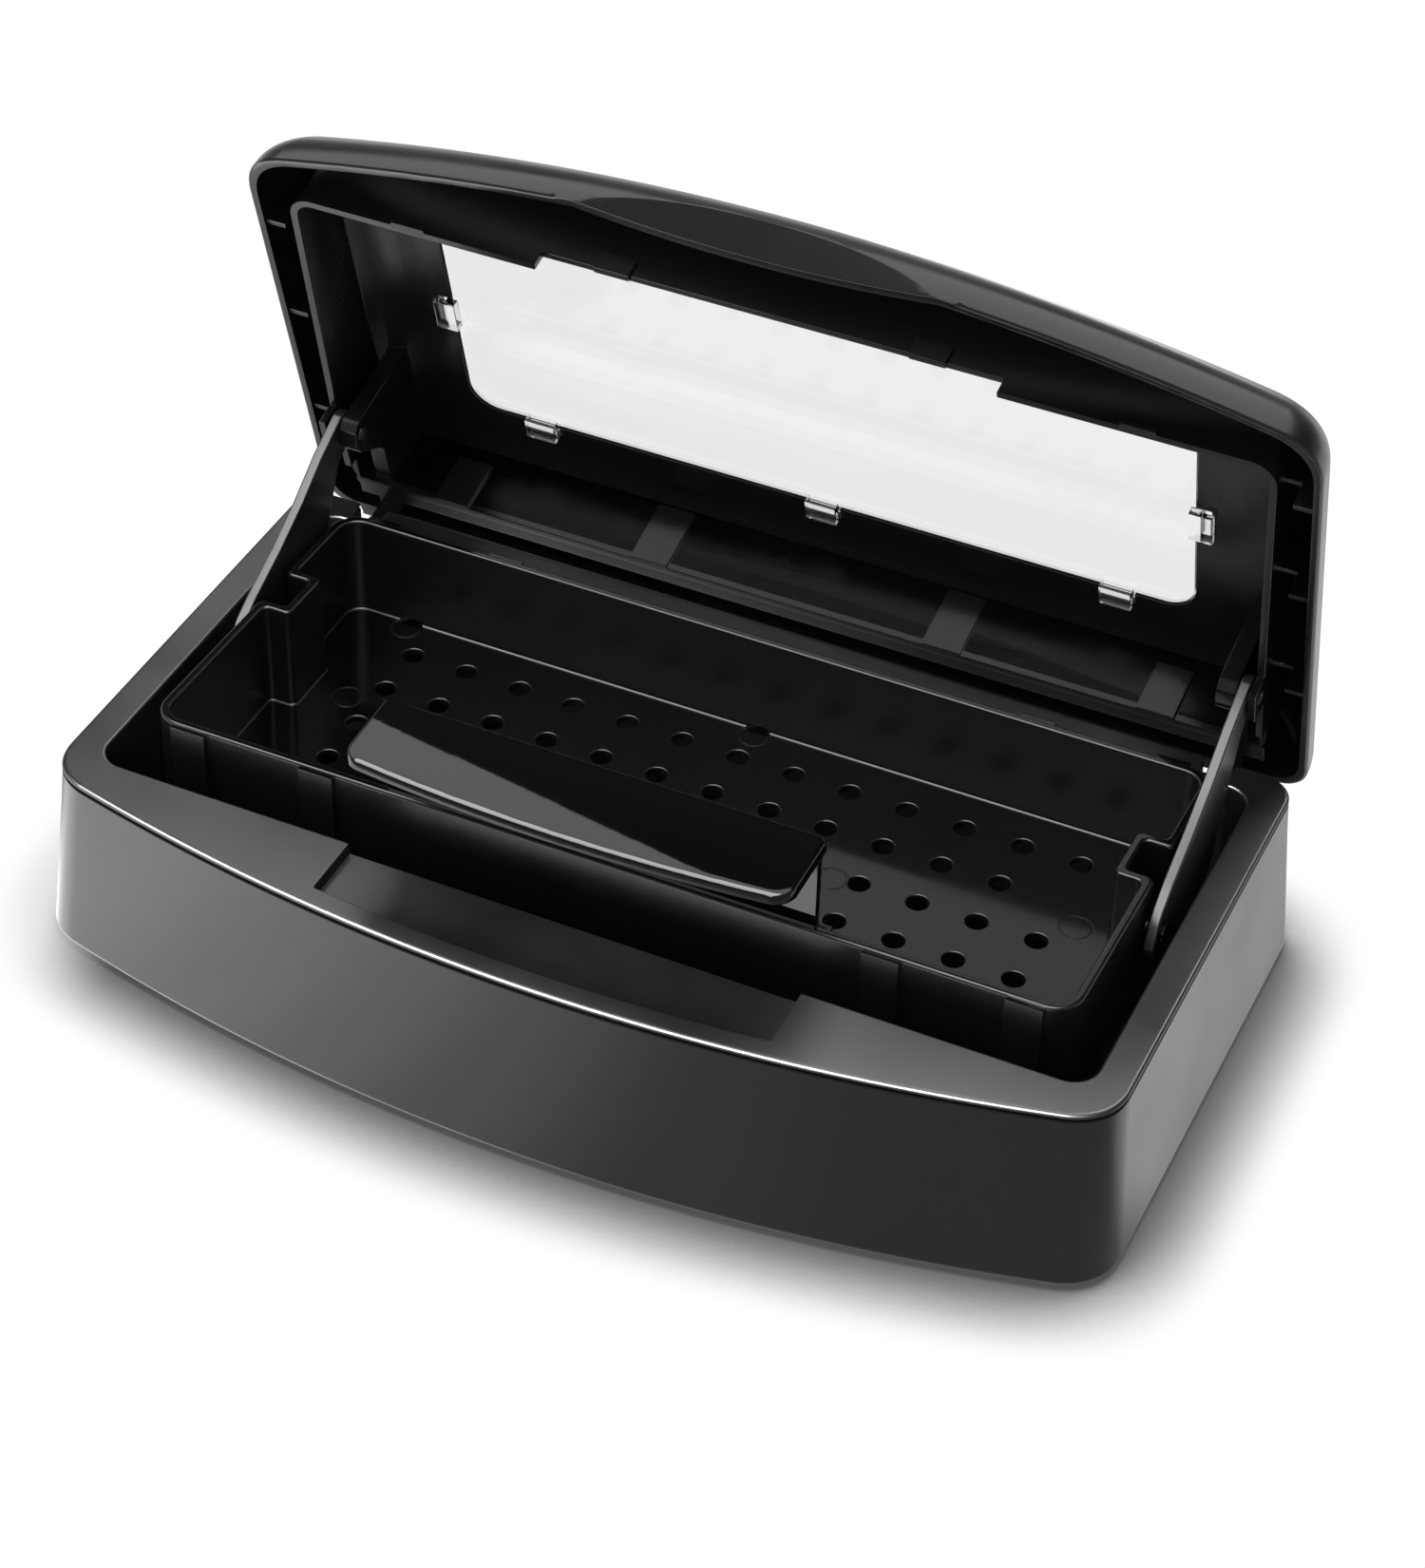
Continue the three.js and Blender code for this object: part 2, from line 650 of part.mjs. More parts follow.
// ---------------------------------------------------------------- tray, raised
const TRAY_X = 109.2;
const TRAY_FRONT = -39.8;
const TRAY_BACK = 49.6;
const TRAY_R = 7;
const TRAY_T = 2.2;
const TRAY_FLOOR = 23.6; // top of the tray floor
const TRAY_UNDER = 21.8;
const RIM_FRONT = 52.5; // the rim falls slightly towards the back
const RIM_BACK = 49.4;
const ROUGH_RIM = 50; // height of the walls before the rim is sloped
const POCKET = { x: 102.6, y0: 9.6, y1: 20.8, bevel: 1.5 }; // in each end wall
const TRAY_PADS_X = [
  [62.5, 71],
  [94.5, 103],
]; // x0, x1 of the pads outside the front and back walls
const HOLE_R = 2.5;
const HOLE_PITCH = 14.1;
const HOLES_EACH_WAY = 6; // on each side of the middle hole
const HOLE_ROWS = [36.3, 22.4, 8.4, -5.3, -19.3]; // y
const SHORT_ROW = 1; // this row lacks its rightmost hole

// tray handle
const HANDLE_X = 51.8;
const RISER_X = 50.5;
const RISER_Y0 = -37.3;
const RISER_Y1 = -35;
const RISER_FOOT = 33;
const PLATE_Z = 74.6; // top of the plate above the riser
const PLATE_FRONT_Z = 74.1;
const PLATE_LIP = 2.4; // how far the lip stands out below the top edge
const PLATE_T = 3.1;
const PLATE_CORNER = -56; // y at the ends of the bowed front
const PLATE_CENTRE = -58.6; // y at the middle of the front
const PLATE_R = 5;
const PLATE_BACK_R = 1.5;
// the top edge is drawn in from the lip below it
const PLATE_LEVELS = [
  [-PLATE_T, 0.3],
  [-PLATE_T + 0.8, 0],
  [-1.2, 0.5],
  [0, 1],
]; // height from the top, inset

// plan of the tray: rounded corners and a pocket in each end wall
function trayPlan(inset) {
  const x = TRAY_X - inset;
  const pocketX = POCKET.x - inset;
  const pocketY0 = POCKET.y0 - inset;
  const pocketY1 = POCKET.y1 + inset;
  const radius = TRAY_R - inset;
  return mirrored([
    ...arc(x - radius, TRAY_FRONT + inset + radius, radius, -90, 0, 5),
    [x, pocketY0],
    [pocketX + POCKET.bevel, pocketY0],
    [pocketX, pocketY0 + POCKET.bevel],
    [pocketX, pocketY1 - POCKET.bevel],
    [pocketX + POCKET.bevel, pocketY1],
    [x, pocketY1],
    ...arc(x - radius, TRAY_BACK - inset - radius, radius, 0, 90, 5),
  ]);
}

// moves the top of a geometry to the sloping rim, or above it
function slopeTop(geometry, above) {
  const slope = (RIM_BACK - RIM_FRONT) / (TRAY_BACK - TRAY_FRONT);
  const rimAt = (y) => RIM_FRONT + slope * (y - TRAY_FRONT);
  return solid(reshape(geometry, (x, y, z) => [x, y, z > 40 ? rimAt(y) + above : z]));
}

function trayPads(side) {
  return TRAY_PADS_X.flatMap(([x0, x1]) =>
    [
      [TRAY_FRONT - 1.3, TRAY_FRONT + 1],
      [TRAY_BACK - 1, TRAY_BACK + 1.3],
    ].map((limits) => {
      const pad = boxGeometry(...span(side, x0, x1), ...limits, TRAY_UNDER + 1, ROUGH_RIM);
      return slopeTop(pad, -0.4);
    }),
  );
}

// L-shaped guide for the handle on the inside of the front wall
function handleGuide(side) {
  const back = RISER_Y1 + 1.9;
  const bottom = TRAY_FLOOR - 0.5;
  const top = 49;
  return [
    sideBox(side, RISER_X + 0.4, RISER_X + 2.4, TRAY_FRONT + 1, back, bottom, top),
    sideBox(side, RISER_X - 1.8, RISER_X + 1, RISER_Y1 + 0.4, back, bottom, top),
  ];
}

function trayHoles() {
  const holes = [];
  HOLE_ROWS.forEach((y, row) => {
    const last = row === SHORT_ROW ? HOLES_EACH_WAY - 1 : HOLES_EACH_WAY;
    for (let i = -HOLES_EACH_WAY; i <= last; i++)
      holes.push(barZ(i * HOLE_PITCH, y, TRAY_UNDER - 1, TRAY_FLOOR + 1, HOLE_R, 10));
  });
  return add(...holes);
}

function tray() {
  const walls = cut(
    add(
      slopeTop(prismGeometry(trayPlan(0), TRAY_UNDER, ROUGH_RIM), 0),
      ...SIDES.flatMap(([, side]) => trayPads(side)),
    ),
    slopeTop(prismGeometry(trayPlan(TRAY_T), TRAY_FLOOR, ROUGH_RIM), 2),
  );
  const guides = SIDES.flatMap(([, side]) => handleGuide(side));
  return cut(add(walls, ...guides), trayHoles());
}

// riser that slides behind the front wall of the tray, and the pull plate on top
function trayHandle() {
  const bowEnd = HANDLE_X - PLATE_R;
  const frontAt = (x) => PLATE_CENTRE + (PLATE_CORNER - PLATE_CENTRE) * (x / bowEnd) ** 2;
  const backX = HANDLE_X - PLATE_BACK_R;
  const plan = [
    ...curveAcross(bowEnd, 12, frontAt),
    ...mirrored([
      ...arc(bowEnd, PLATE_CORNER + PLATE_R, PLATE_R, -70, 0, 4),
      ...arc(backX, RISER_Y1 - PLATE_BACK_R, PLATE_BACK_R, 0, 90, 3),
    ]),
  ];
  const steps = PLATE_LEVELS.length - 1;
  const plate = reshape(prismGeometry(plan, 0, steps, steps), (x, y, z) => {
    const [height, inset] = PLATE_LEVELS[Math.round(z)];
    // 0 at the back of the plate, 1 at the middle of its front
    const forward = Math.max((y - RISER_Y1) / (PLATE_CENTRE - RISER_Y1), 0);
    return [
      x * (1 - (inset * 1.2) / HANDLE_X),
      y + forward * PLATE_LIP * inset,
      PLATE_Z + (PLATE_FRONT_Z - PLATE_Z) * forward + height,
    ];
  });
  return add(
    solid(plate),
    box(-RISER_X, RISER_X, RISER_Y0, RISER_Y1, RISER_FOOT, PLATE_Z - 0.6),
  );
}

// ---------------------------------------------------------------- assembly
// The outer group turns about the hinge; the inner one keeps closed coordinates.
function lidGroup() {
  const lid = new THREE.Group();
  lid.position.set(0, HINGE.y, HINGE.z);
  lid.rotation.x = -LID_ANGLE;
  const inner = new THREE.Group();
  inner.position.set(0, -HINGE.y, -HINGE.z);
  lid.add(inner);
  inner.add(piece("lid_shell", lidShell(), FINISH.shell));
  inner.add(piece("lid_window", lidWindow(), FINISH.clear));
  for (const [name, side] of SIDES)
    inner.add(piece("arm_pivot_pin_" + name, armPivotPin(side), FINISH.pin));
  return lid;
}

const group = new THREE.Group();
group.add(piece("base_shell", baseShell(), FINISH.shell));
group.add(piece("tank_deck", tankDeck(), FINISH.deckAndArm));
for (const [name, x, y] of FEET)
  group.add(piece(name, turned(FOOT_PROFILE, x, y, 20), FINISH.rubber));
for (const [name, x] of SCREWS) group.add(piece(name, screw(x), FINISH.fastener));
for (const [name, side] of SIDES)
  group.add(piece("hinge_pin_" + name, hingePin(side), FINISH.pin));
group.add(lidGroup());
for (const [name, side] of SIDES) {
  group.add(piece("lift_arm_" + name, liftArm(side), FINISH.deckAndArm));
  group.add(piece("lift_roller_" + name, liftRoller(side), FINISH.fastener));
}
group.add(piece("tray", tray(), FINISH.tray));
group.add(piece("tray_handle", trayHandle(), FINISH.handle));

// stand the box on the table, centred from front to back
group.updateMatrixWorld(true);
const bounds = new THREE.Box3().setFromObject(group, true);
group.position.set(0, -(bounds.min.y + bounds.max.y) / 2, -bounds.min.z);
group.updateMatrixWorld(true);

export default group;
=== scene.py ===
"""Lift-tray disinfection box: base, open lid, lift arms, perforated tray and tray handle.

Lengths in the modelling code are millimetres in the box's own drawing frame: x to the
right, y to the back, z up from the underside of the shell. The lid is drawn closed.
put() opens the lid's pieces and turns every finished piece into metres in the row frame.
Lights, camera and stage are in metres in the row frame unless TO_ROW is applied.
"""
import math
import bmesh
import bpy
from mathutils import Matrix, Vector


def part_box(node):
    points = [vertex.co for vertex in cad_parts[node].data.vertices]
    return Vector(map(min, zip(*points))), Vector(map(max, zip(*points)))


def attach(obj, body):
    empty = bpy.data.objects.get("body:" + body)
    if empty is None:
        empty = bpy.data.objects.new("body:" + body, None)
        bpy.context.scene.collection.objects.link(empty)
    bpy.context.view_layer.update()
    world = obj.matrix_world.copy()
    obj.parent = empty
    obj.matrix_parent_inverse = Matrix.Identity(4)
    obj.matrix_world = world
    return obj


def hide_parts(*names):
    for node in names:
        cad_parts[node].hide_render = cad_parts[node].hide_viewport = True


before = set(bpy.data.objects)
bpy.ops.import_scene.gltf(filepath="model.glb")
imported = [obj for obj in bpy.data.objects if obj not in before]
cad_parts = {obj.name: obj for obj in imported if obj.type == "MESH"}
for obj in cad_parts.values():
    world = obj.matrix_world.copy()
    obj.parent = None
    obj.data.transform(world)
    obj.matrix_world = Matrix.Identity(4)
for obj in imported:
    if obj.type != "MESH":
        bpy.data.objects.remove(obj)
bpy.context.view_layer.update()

# ------------------------------------------------------------------ shared sizes
# A name that ends in _X is a half width; _FRONT, _BACK, Y0 and Y1 are places along y.
HALF_W, FRONT_CORNER, BOW, BACK = 125.0, 57.0, 17.1, 59.6
FRONT = FRONT_CORNER + BOW
R_FRONT, R_BACK, CORNER_EASE = 9.5, 7.0, 0.6
DECK_Z, DECK_T, PART_LINE = 44.7, 1.4, 0.4
DECK_UNDER = DECK_Z - DECK_T
SHELL_TOP = DECK_UNDER - PART_LINE
OPEN_X, OPEN_FRONT, OPEN_BACK, TANK_T = 117.1, -50.0, 52.3, 2.0
LID_ANGLE, HINGE_Y, HINGE_Z = 74.9, 57.8, 33.9
LID_Z, LID_SHOULDER, LID_TOP, LID_T = 45.1, 46.4, 66.7, 2.0
WIN_X, WIN_FRONT, WIN_BACK, WIN_R = 91.2, -34.0, 32.6, 7.5
# hinge: the lid's lugs stand in slots between bosses of the shell
PIN_R, LUG_X0, LUG_X1, NOTCH_GAP, BOSS_T = 1.25, 104.0, 110.0, 0.7, 2.8
SLOT_X0, SLOT_X1 = LUG_X0 - NOTCH_GAP, LUG_X1 + NOTCH_GAP
BOSS_X0, BOSS_X1 = SLOT_X0 - BOSS_T, SLOT_X1 + BOSS_T
SLOT_FRONT = OPEN_BACK + TANK_T + 0.2
# lift arms: (y, z) of the pivot in the closed lid and of the roller at the tip
ARM_PIVOT, ARM_TIP = (22.5, 39.5), (5.0, 41.0)
ARM_PIN_R, ARM_HOLE_R = 1.5, 1.75
FOOT_XS, FOOT_YS = (-104, 104), (-46, 44)
SCREW_XS, SCREW_Y = (-75, 0, 75), -59

# where the drawing frame stands in the row frame
pin_low, pin_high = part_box("hinge_pin_right")
SHIFT = Vector(
    (
        0.0,
        (pin_low.y + pin_high.y) * 500 - HINGE_Y,
        (pin_low.z + pin_high.z) * 500 - HINGE_Z,
    )
)
TO_ROW = Matrix.Scale(0.001, 4) @ Matrix.Translation(SHIFT)
OPENED = (
    Matrix.Translation((0, HINGE_Y, HINGE_Z))
    @ Matrix.Rotation(-math.radians(LID_ANGLE), 4, "X")
    @ Matrix.Translation((0, -HINGE_Y, -HINGE_Z))
)


# ------------------------------------------------------------------ plane figures
def spread(low, high, n):
    """n + 1 even values from low to high."""
    return [low + (high - low) * i / n for i in range(n + 1)]


def arc(cx, cy, r, start, end, n):
    """Points of an arc in n steps, from start to end in degrees."""
    return [
        (cx + r * math.cos(math.radians(a)), cy + r * math.sin(math.radians(a)))
        for a in spread(start, end, n)
    ]


def circle(cx, cy, r, n):
    return arc(cx, cy, r, 0, 360 - 360 / n, n - 1)


def unit_circle(n):
    return [
        (math.cos(2 * math.pi * i / n), math.sin(2 * math.pi * i / n)) for i in range(n)
    ]


def rounded(x0, x1, y0, y1, r, n=12):
    """Rectangle with round corners."""
    return (
        arc(x1 - r, y0 + r, r, -90, 0, n)
        + arc(x1 - r, y1 - r, r, 0, 90, n)
        + arc(x0 + r, y1 - r, r, 90, 180, n)
        + arc(x0 + r, y0 + r, r, 180, 270, n)
    )


def flat(points, z):
    """A level ring through (x, y) points."""
    return [(x, y, z) for x, y in points]


def span(s, x0, x1):
    """The stretch x0 to x1 on the right (s = 1), or its mirror image on the left (-1)."""
    return (x0, x1) if s > 0 else (-x1, -x0)


def fillet(z, r, n=6, up=True):
    """(height, inset) pairs of a rounded edge: the top edge that ends at height z, or
    the bottom edge that starts there."""
    out = []
    for i in range(n + 1):
        a = math.pi / 2 * i / n
        from_sin, from_cos = r * (1 - math.sin(a)), r * (1 - math.cos(a))
        out.append((z - from_sin, from_cos) if up else (z + from_cos, from_sin))
    return out


# ------------------------------------------------------------------ solids
def new_object(verts, faces):
    mesh = bpy.data.meshes.new("work")
    mesh.from_pydata([tuple(v) for v in verts], [], faces)
    bm = bmesh.new()
    bm.from_mesh(mesh)
    bmesh.ops.recalc_face_normals(bm, faces=bm.faces)
    bm.to_mesh(mesh)
    bm.free()
    o = bpy.data.objects.new("work", mesh)
    bpy.context.scene.collection.objects.link(o)
    return o


def rings(levels):
    """Closed solid through rings of points, one ring a level."""
    n = len(levels[0])
    verts = [p for ring in levels for p in ring]
    faces = []
    for low in range(0, (len(levels) - 1) * n, n):
        high = low + n
        for i in range(n):
            j = (i + 1) % n
            faces.append((low + i, low + j, high + j, high + i))
    faces.append(tuple(reversed(range(n))))
    faces.append(tuple(range((len(levels) - 1) * n, len(levels) * n)))
    return new_object(verts, faces)


def prism(points, z0, z1):
    return rings([flat(points, z) for z in (z0, z1)])


def plate_x(yz, x0, x1):
    """Plate with a (y, z) outline, from x0 to x1."""
    return rings([[(x, y, z) for y, z in yz] for x in (x0, x1)])


def box(x0, x1, y0, y1, z0, z1):
    return prism([(x0, y0), (x1, y0), (x1, y1), (x0, y1)], z0, z1)


def side_box(s, x0, x1, *rest):
    return box(*span(s, x0, x1), *rest)


def bar_x(x0, x1, y, z, r, n=32):
    return plate_x(circle(y, z, r, n), x0, x1)


def bar_z(x, y, z0, z1, r, n=32):
    return prism(circle(x, y, r, n), z0, z1)


def turned_z(x, y, profile, n=48):
    """Turned solid about a vertical axis: profile is (radius, height) pairs."""
    return rings([[(x + r * c, y + r * s, z) for c, s in unit_circle(n)] for r, z in profile])


def turned_x(side, y, z, profile, n=40):
    """Turned solid about an axis along x: profile is (radius, x) pairs of the right side."""
    return rings(
        [[(side * x, y + r * c, z + r * s) for c, s in unit_circle(n)] for r, x in profile]
    )


def pin(side, y, z, x0, x1, r, chamfer=0.3):
    profile = [(r - chamfer, x0), (r, x0 + chamfer), (r, x1 - chamfer), (r - chamfer, x1)]
    return turned_x(side, y, z, profile)


def evaluated(o):
    """A new mesh of the object with its modifiers applied."""
    depsgraph = bpy.context.evaluated_depsgraph_get()
    return bpy.data.meshes.new_from_object(o.evaluated_get(depsgraph))


def discard(o):
    mesh = o.data
    bpy.data.objects.remove(o)
    bpy.data.meshes.remove(mesh)


def boolean(o, tool, operation):
    m = o.modifiers.new("b", "BOOLEAN")
    m.operation, m.solver, m.object = operation, "MANIFOLD", tool
    mesh = evaluated(o)
    # the manifold solver gives nothing where an input isn't watertight
    if len(mesh.polygons) == 0:
        m.solver = "EXACT"
        mesh = evaluated(o)
    o.modifiers.clear()
    old = o.data
    o.data = mesh
    bpy.data.meshes.remove(old)
    discard(tool)
    return o


def join(o, *more):
    for tool in more:
        boolean(o, tool, "UNION")
    return o


def cut(o, *more):
    for tool in more:
        boolean(o, tool, "DIFFERENCE")
    return o


def common(o, tool):
    return boolean(o, tool, "INTERSECT")


def merged(objects):
    """One object from several that don't touch."""
    verts, faces = [], []
    for o in objects:
        first = len(verts)
        verts += [tuple(v.co) for v in o.data.vertices]
        faces += [tuple(first + i for i in p.vertices) for p in o.data.polygons]
        discard(o)
    return new_object(verts, faces)


# ------------------------------------------------------------------ outline of the box
def front_at(x):
    """y of the bowed front."""
    return -(FRONT_CORNER + BOW * (1 - (x / HALF_W) ** 2))


def outline(front_steps=72, corner_steps=14):
    front_x = HALF_W - R_FRONT
    corner_y = front_at(HALF_W) + CORNER_EASE
    side_y = corner_y + R_FRONT

    def corner(s):
        """Quadratic curve from the front round to the side."""
        out = []
        for t in spread(0, 1, corner_steps)[1:]:
            start, middle, end = (1 - t) ** 2, 2 * t * (1 - t), t * t
            x = start * s * front_x + middle * s * HALF_W + end * s * HALF_W
            y = start * front_at(front_x) + middle * corner_y + end * side_y
            out.append((x, y))
        return out

    def side(s):
        # a few points along the straight side keep the quads even
        return [(s * HALF_W, y) for y in spread(side_y, BACK - R_BACK, 10)[1:-1]]

    points = [(x, front_at(x)) for x in spread(-front_x, front_x, front_steps)]
    points += corner(1) + side(1)
    points += arc(HALF_W - R_BACK, BACK - R_BACK, R_BACK, 0, 90, 10)
    points += arc(-HALF_W + R_BACK, BACK - R_BACK, R_BACK, 90, 180, 10)
    return points + side(-1)[::-1] + corner(-1)[::-1]


OUTLINE = outline()


def loft(levels):
    """Solid through the outline at levels of (z, growth at side, front, back)."""
    return rings(
        [
            [
                (
                    x * (HALF_W + side) / HALF_W,
                    y * (FRONT + front) / FRONT if y < 0 else y * (BACK + back) / BACK,
                    z,
                )
                for x, y in OUTLINE
            ]
            for z, side, front, back in levels
        ]
    )


# ------------------------------------------------------------------ shader graphs
def rgb(grey, blue):
    """A grey colour with its own blue."""
    return (grey, grey, blue, 1)


class Graph:
    """The emptied node tree of a material or world. Inputs take values or sockets."""

    def __init__(self, owner):
        owner.use_nodes = True
        self.owner = owner
        self.tree = owner.node_tree
        self.tree.nodes.clear()

    def feed(self, node, socket, value):
        if isinstance(value, bpy.types.NodeSocket):
            self.tree.links.new(value, node.inputs[socket])
        else:
            node.inputs[socket].default_value = value

    def add(self, kind, inputs=None, **settings):
        node = self.tree.nodes.new("ShaderNode" + kind)
        for key, value in settings.items():
            setattr(node, key, value)
        for socket, value in (inputs or {}).items():
            self.feed(node, socket, value)
        return node

    def place(self):
        return self.add("TexCoord").outputs["Object"]

    def stretched(self, vector, **inputs):
        return self.add("Mapping", {"Vector": vector, **inputs}).outputs["Vector"]

    def noise(self, vector, scale, detail):
        inputs = {"Vector": vector, "Scale": scale, "Detail": detail}
        return self.add("TexNoise", inputs).outputs["Fac"]

    def map_range(self, value, to_min=0.0, to_max=1.0, from_min=0.0, from_max=1.0):
        inputs = {
            "Value": value, "From Min": from_min, "From Max": from_max,
            "To Min": to_min, "To Max": to_max,
        }
        return self.add("MapRange", inputs).outputs["Result"]

    def math(self, operation, *values):
        inputs = dict(enumerate(values))
        return self.add("Math", inputs, operation=operation).outputs["Value"]

    def mix(self, factor, first, second):
        """Colour mix; a plain number is a grey."""
        inputs = {"Factor": factor}
        for socket, value in (("A", first), ("B", second)):
            inputs[socket] = rgb(value, value) if isinstance(value, float) else value
        return self.add("Mix", inputs, data_type="RGBA").outputs["Result"]

    def bump(self, height, strength, distance, **inputs):
        inputs.update(Height=height, Strength=strength, Distance=distance)
        return self.add("Bump", inputs).outputs["Normal"]

    def ramp(self, value, low, high, stops, interpolation="EASE"):
        """Grey from (value, grey) stops over the range low to high."""
        fac = self.map_range(value, from_min=low, from_max=high)
        node = self.add("ValToRGB", {"Fac": fac})
        node.color_ramp.interpolation = interpolation
        elements = node.color_ramp.elements
        while len(elements) > 1:
            elements.remove(elements[-1])
        for i, (stop, grey) in enumerate(stops):
            position = (stop - low) / (high - low)
            element = elements[0] if i == 0 else elements.new(position)
            element.position = position
            element.color = rgb(grey, grey)
        return node.outputs["Color"]

    def choose(self, fac, otherwise, chosen):
        """The chosen shader where fac is 1."""
        inputs = {"Fac": fac, 1: otherwise, 2: chosen}
        return self.add("MixShader", inputs).outputs["Shader"]

    def principled(self, inputs):
        """Ends the graph in a principled surface and returns the material."""
        bsdf = self.add("BsdfPrincipled", inputs)
        self.add("OutputMaterial", {"Surface": bsdf.outputs["BSDF"]})
        return self.owner


# ------------------------------------------------------------------ materials
def plastic(
    name, grey, rough, grain, rough_var=0.05, spec=0.5, wall_rough=None, lean=0.0
):
    """Moulded black plastic: fine spark grain, soft cloudy gloss, a painted highlight on sharp
    edges.

    wall_rough is the roughness of faces that aren't level; lean tips the shading of
    level faces along y."""
    g = Graph(bpy.data.materials.new(name))
    place = g.place()
    cloud = g.noise(place, scale=28, detail=5)
    fine = g.noise(place, scale=1500, detail=3)
    # long, faint wipe marks
    wipe_place = g.stretched(place, Scale=(30, 900, 900), Rotation=(0.3, 0.2, 0.5))
    wipe = g.noise(wipe_place, scale=1, detail=2)
    cloudy = g.map_range(
        cloud,
        to_min=max(rough - rough_var, 0.02), to_max=rough + rough_var,
        from_min=0.3, from_max=0.7,
    )
    roughness = g.math("MULTIPLY_ADD", wipe, rough_var * 0.6, cloudy)
    # colour: base, a trace of cloud, and sharp edges made lighter as a painted highlight
    geometry = g.add("NewGeometry").outputs
    # pointy edges get a lighter colour: a painted highlight
    edge = g.map_range(geometry["Pointiness"], from_min=0.53, from_max=0.62)
    base = g.mix(
        cloud,
        rgb(grey * 0.85, grey * 0.86),
        rgb(grey * 1.15, grey * 1.15 * 1.02),
    )
    half_edge = g.math("MULTIPLY", edge, 0.5)
    edge_highlighted = g.mix(half_edge, base, rgb(grey * 2.2, grey * 2.25))
    grained = g.bump(fine, strength=grain, distance=0.00002)
    normal = g.bump(cloud, strength=0.10, distance=0.0004, Normal=grained)
    if wall_rough or lean:
        # level faces apart from the walls
        up = g.add("SeparateXYZ", {"Vector": geometry["True Normal"]}).outputs["Z"]
        level_face = g.map_range(up, from_min=0.985, from_max=0.995)
    if wall_rough:
        walls = g.math("ADD", roughness, wall_rough - rough)
        pick = g.add("Mix", {"Factor": level_face, "A": walls, "B": roughness})
        roughness = pick.outputs["Result"]
    if lean:
        tip = g.add("VectorMath", {0: (0, lean, 0), "Scale": level_face}, operation="SCALE")
        leant = g.add("VectorMath", {0: normal, 1: tip.outputs["Vector"]})
        unit = g.add("VectorMath", {0: leant.outputs["Vector"]}, operation="NORMALIZE")
        normal = unit.outputs["Vector"]
    return g.principled(
        {
            "Base Color": edge_highlighted, "Roughness": roughness, "Normal": normal,
            "IOR": 1.52, "Specular IOR Level": spec,
        }
    )


def clear_plastic(name):
    """Clear, with a faint haze."""
    g = Graph(bpy.data.materials.new(name))
    haze = g.noise(g.place(), scale=60, detail=4)
    return g.principled(
        {
            "Transmission Weight": 1.0, "IOR": 1.49, "Specular IOR Level": 0.12,
            "Roughness": g.map_range(haze, to_min=0.01, to_max=0.05),
            "Base Color": g.mix(haze, (0.93, 0.94, 0.94, 1), (0.97, 0.97, 0.97, 1)),
            "Normal": g.bump(haze, strength=0.03, distance=0.0002),
        }
    )


def steel(name, low=0.45, high=0.66):
    """Drawn metal, streaked along x, between a low and a high grey."""
    g = Graph(bpy.data.materials.new(name))
    streak = g.noise(g.stretched(g.place(), Scale=(400, 6000, 6000)), scale=1, detail=4)
    return g.principled(
        {
            "Metallic": 1.0,
            "Roughness": g.map_range(streak, to_min=0.18, to_max=0.42),
            "Base Color": g.mix(streak, rgb(low, low * 1.02), rgb(high, high * 1.02)),
            "Normal": g.bump(streak, strength=0.15, distance=0.00002),
        }
    )


def rubber(name):
    g = Graph(bpy.data.materials.new(name))
    speckle = g.noise(g.place(), scale=900, detail=6)
    return g.principled(
        {
            "Base Color": g.mix(
                speckle, (0.014, 0.014, 0.014, 1), (0.035, 0.034, 0.033, 1)
            ),
            "Roughness": g.map_range(speckle, to_min=0.65, to_max=0.9),
            "Normal": g.bump(speckle, strength=0.4, distance=0.00005),
        }
    )


SHELL = plastic("black_shell", grey=0.009, rough=0.22, grain=0.30)
DECK = plastic("black_deck", grey=0.006, rough=0.32, grain=0.35)
INSIDE = plastic("black_inside", grey=0.005, rough=0.22, grain=0.30, spec=0.8)
TRAY = plastic(
    "black_tray", grey=0.004, rough=0.10, grain=0.10, rough_var=0.02, wall_rough=0.33, lean=0.035
)
GLOSS = plastic(
    "black_gloss", grey=0.002, rough=0.03, grain=0.02, rough_var=0.006, lean=-0.09
)
ARM = plastic("black_arm", grey=0.014, rough=0.30, grain=0.25)
CLEAR = clear_plastic("clear_window")
STEEL = steel("drawn_steel")
# painted shade: the rollers' steel is made nearly black for the shade they sit in
DARK_STEEL = steel("steel_darkened_as_shade", low=0.03, high=0.09)
RUBBER = rubber("foot_rubber")


# ------------------------------------------------------------------ finishing
def tidy(mesh):
    bm = bmesh.new()
    bm.from_mesh(mesh)
    bmesh.ops.remove_doubles(bm, verts=bm.verts, dist=0.02)
    bmesh.ops.dissolve_limit(
        bm, angle_limit=math.radians(0.25), verts=bm.verts, edges=bm.edges
    )
    bmesh.ops.recalc_face_normals(bm, faces=bm.faces)
    # wide downward faces with openings are split while their outline is still clean
    wide = [
        f for f in bm.faces
        if f.normal.z < -0.99 and len(f.verts) > 60 and f.calc_center_median().z > 30
    ]
    if wide:
        bmesh.ops.triangulate(bm, faces=wide)
    bm.to_mesh(mesh)
    bm.free()


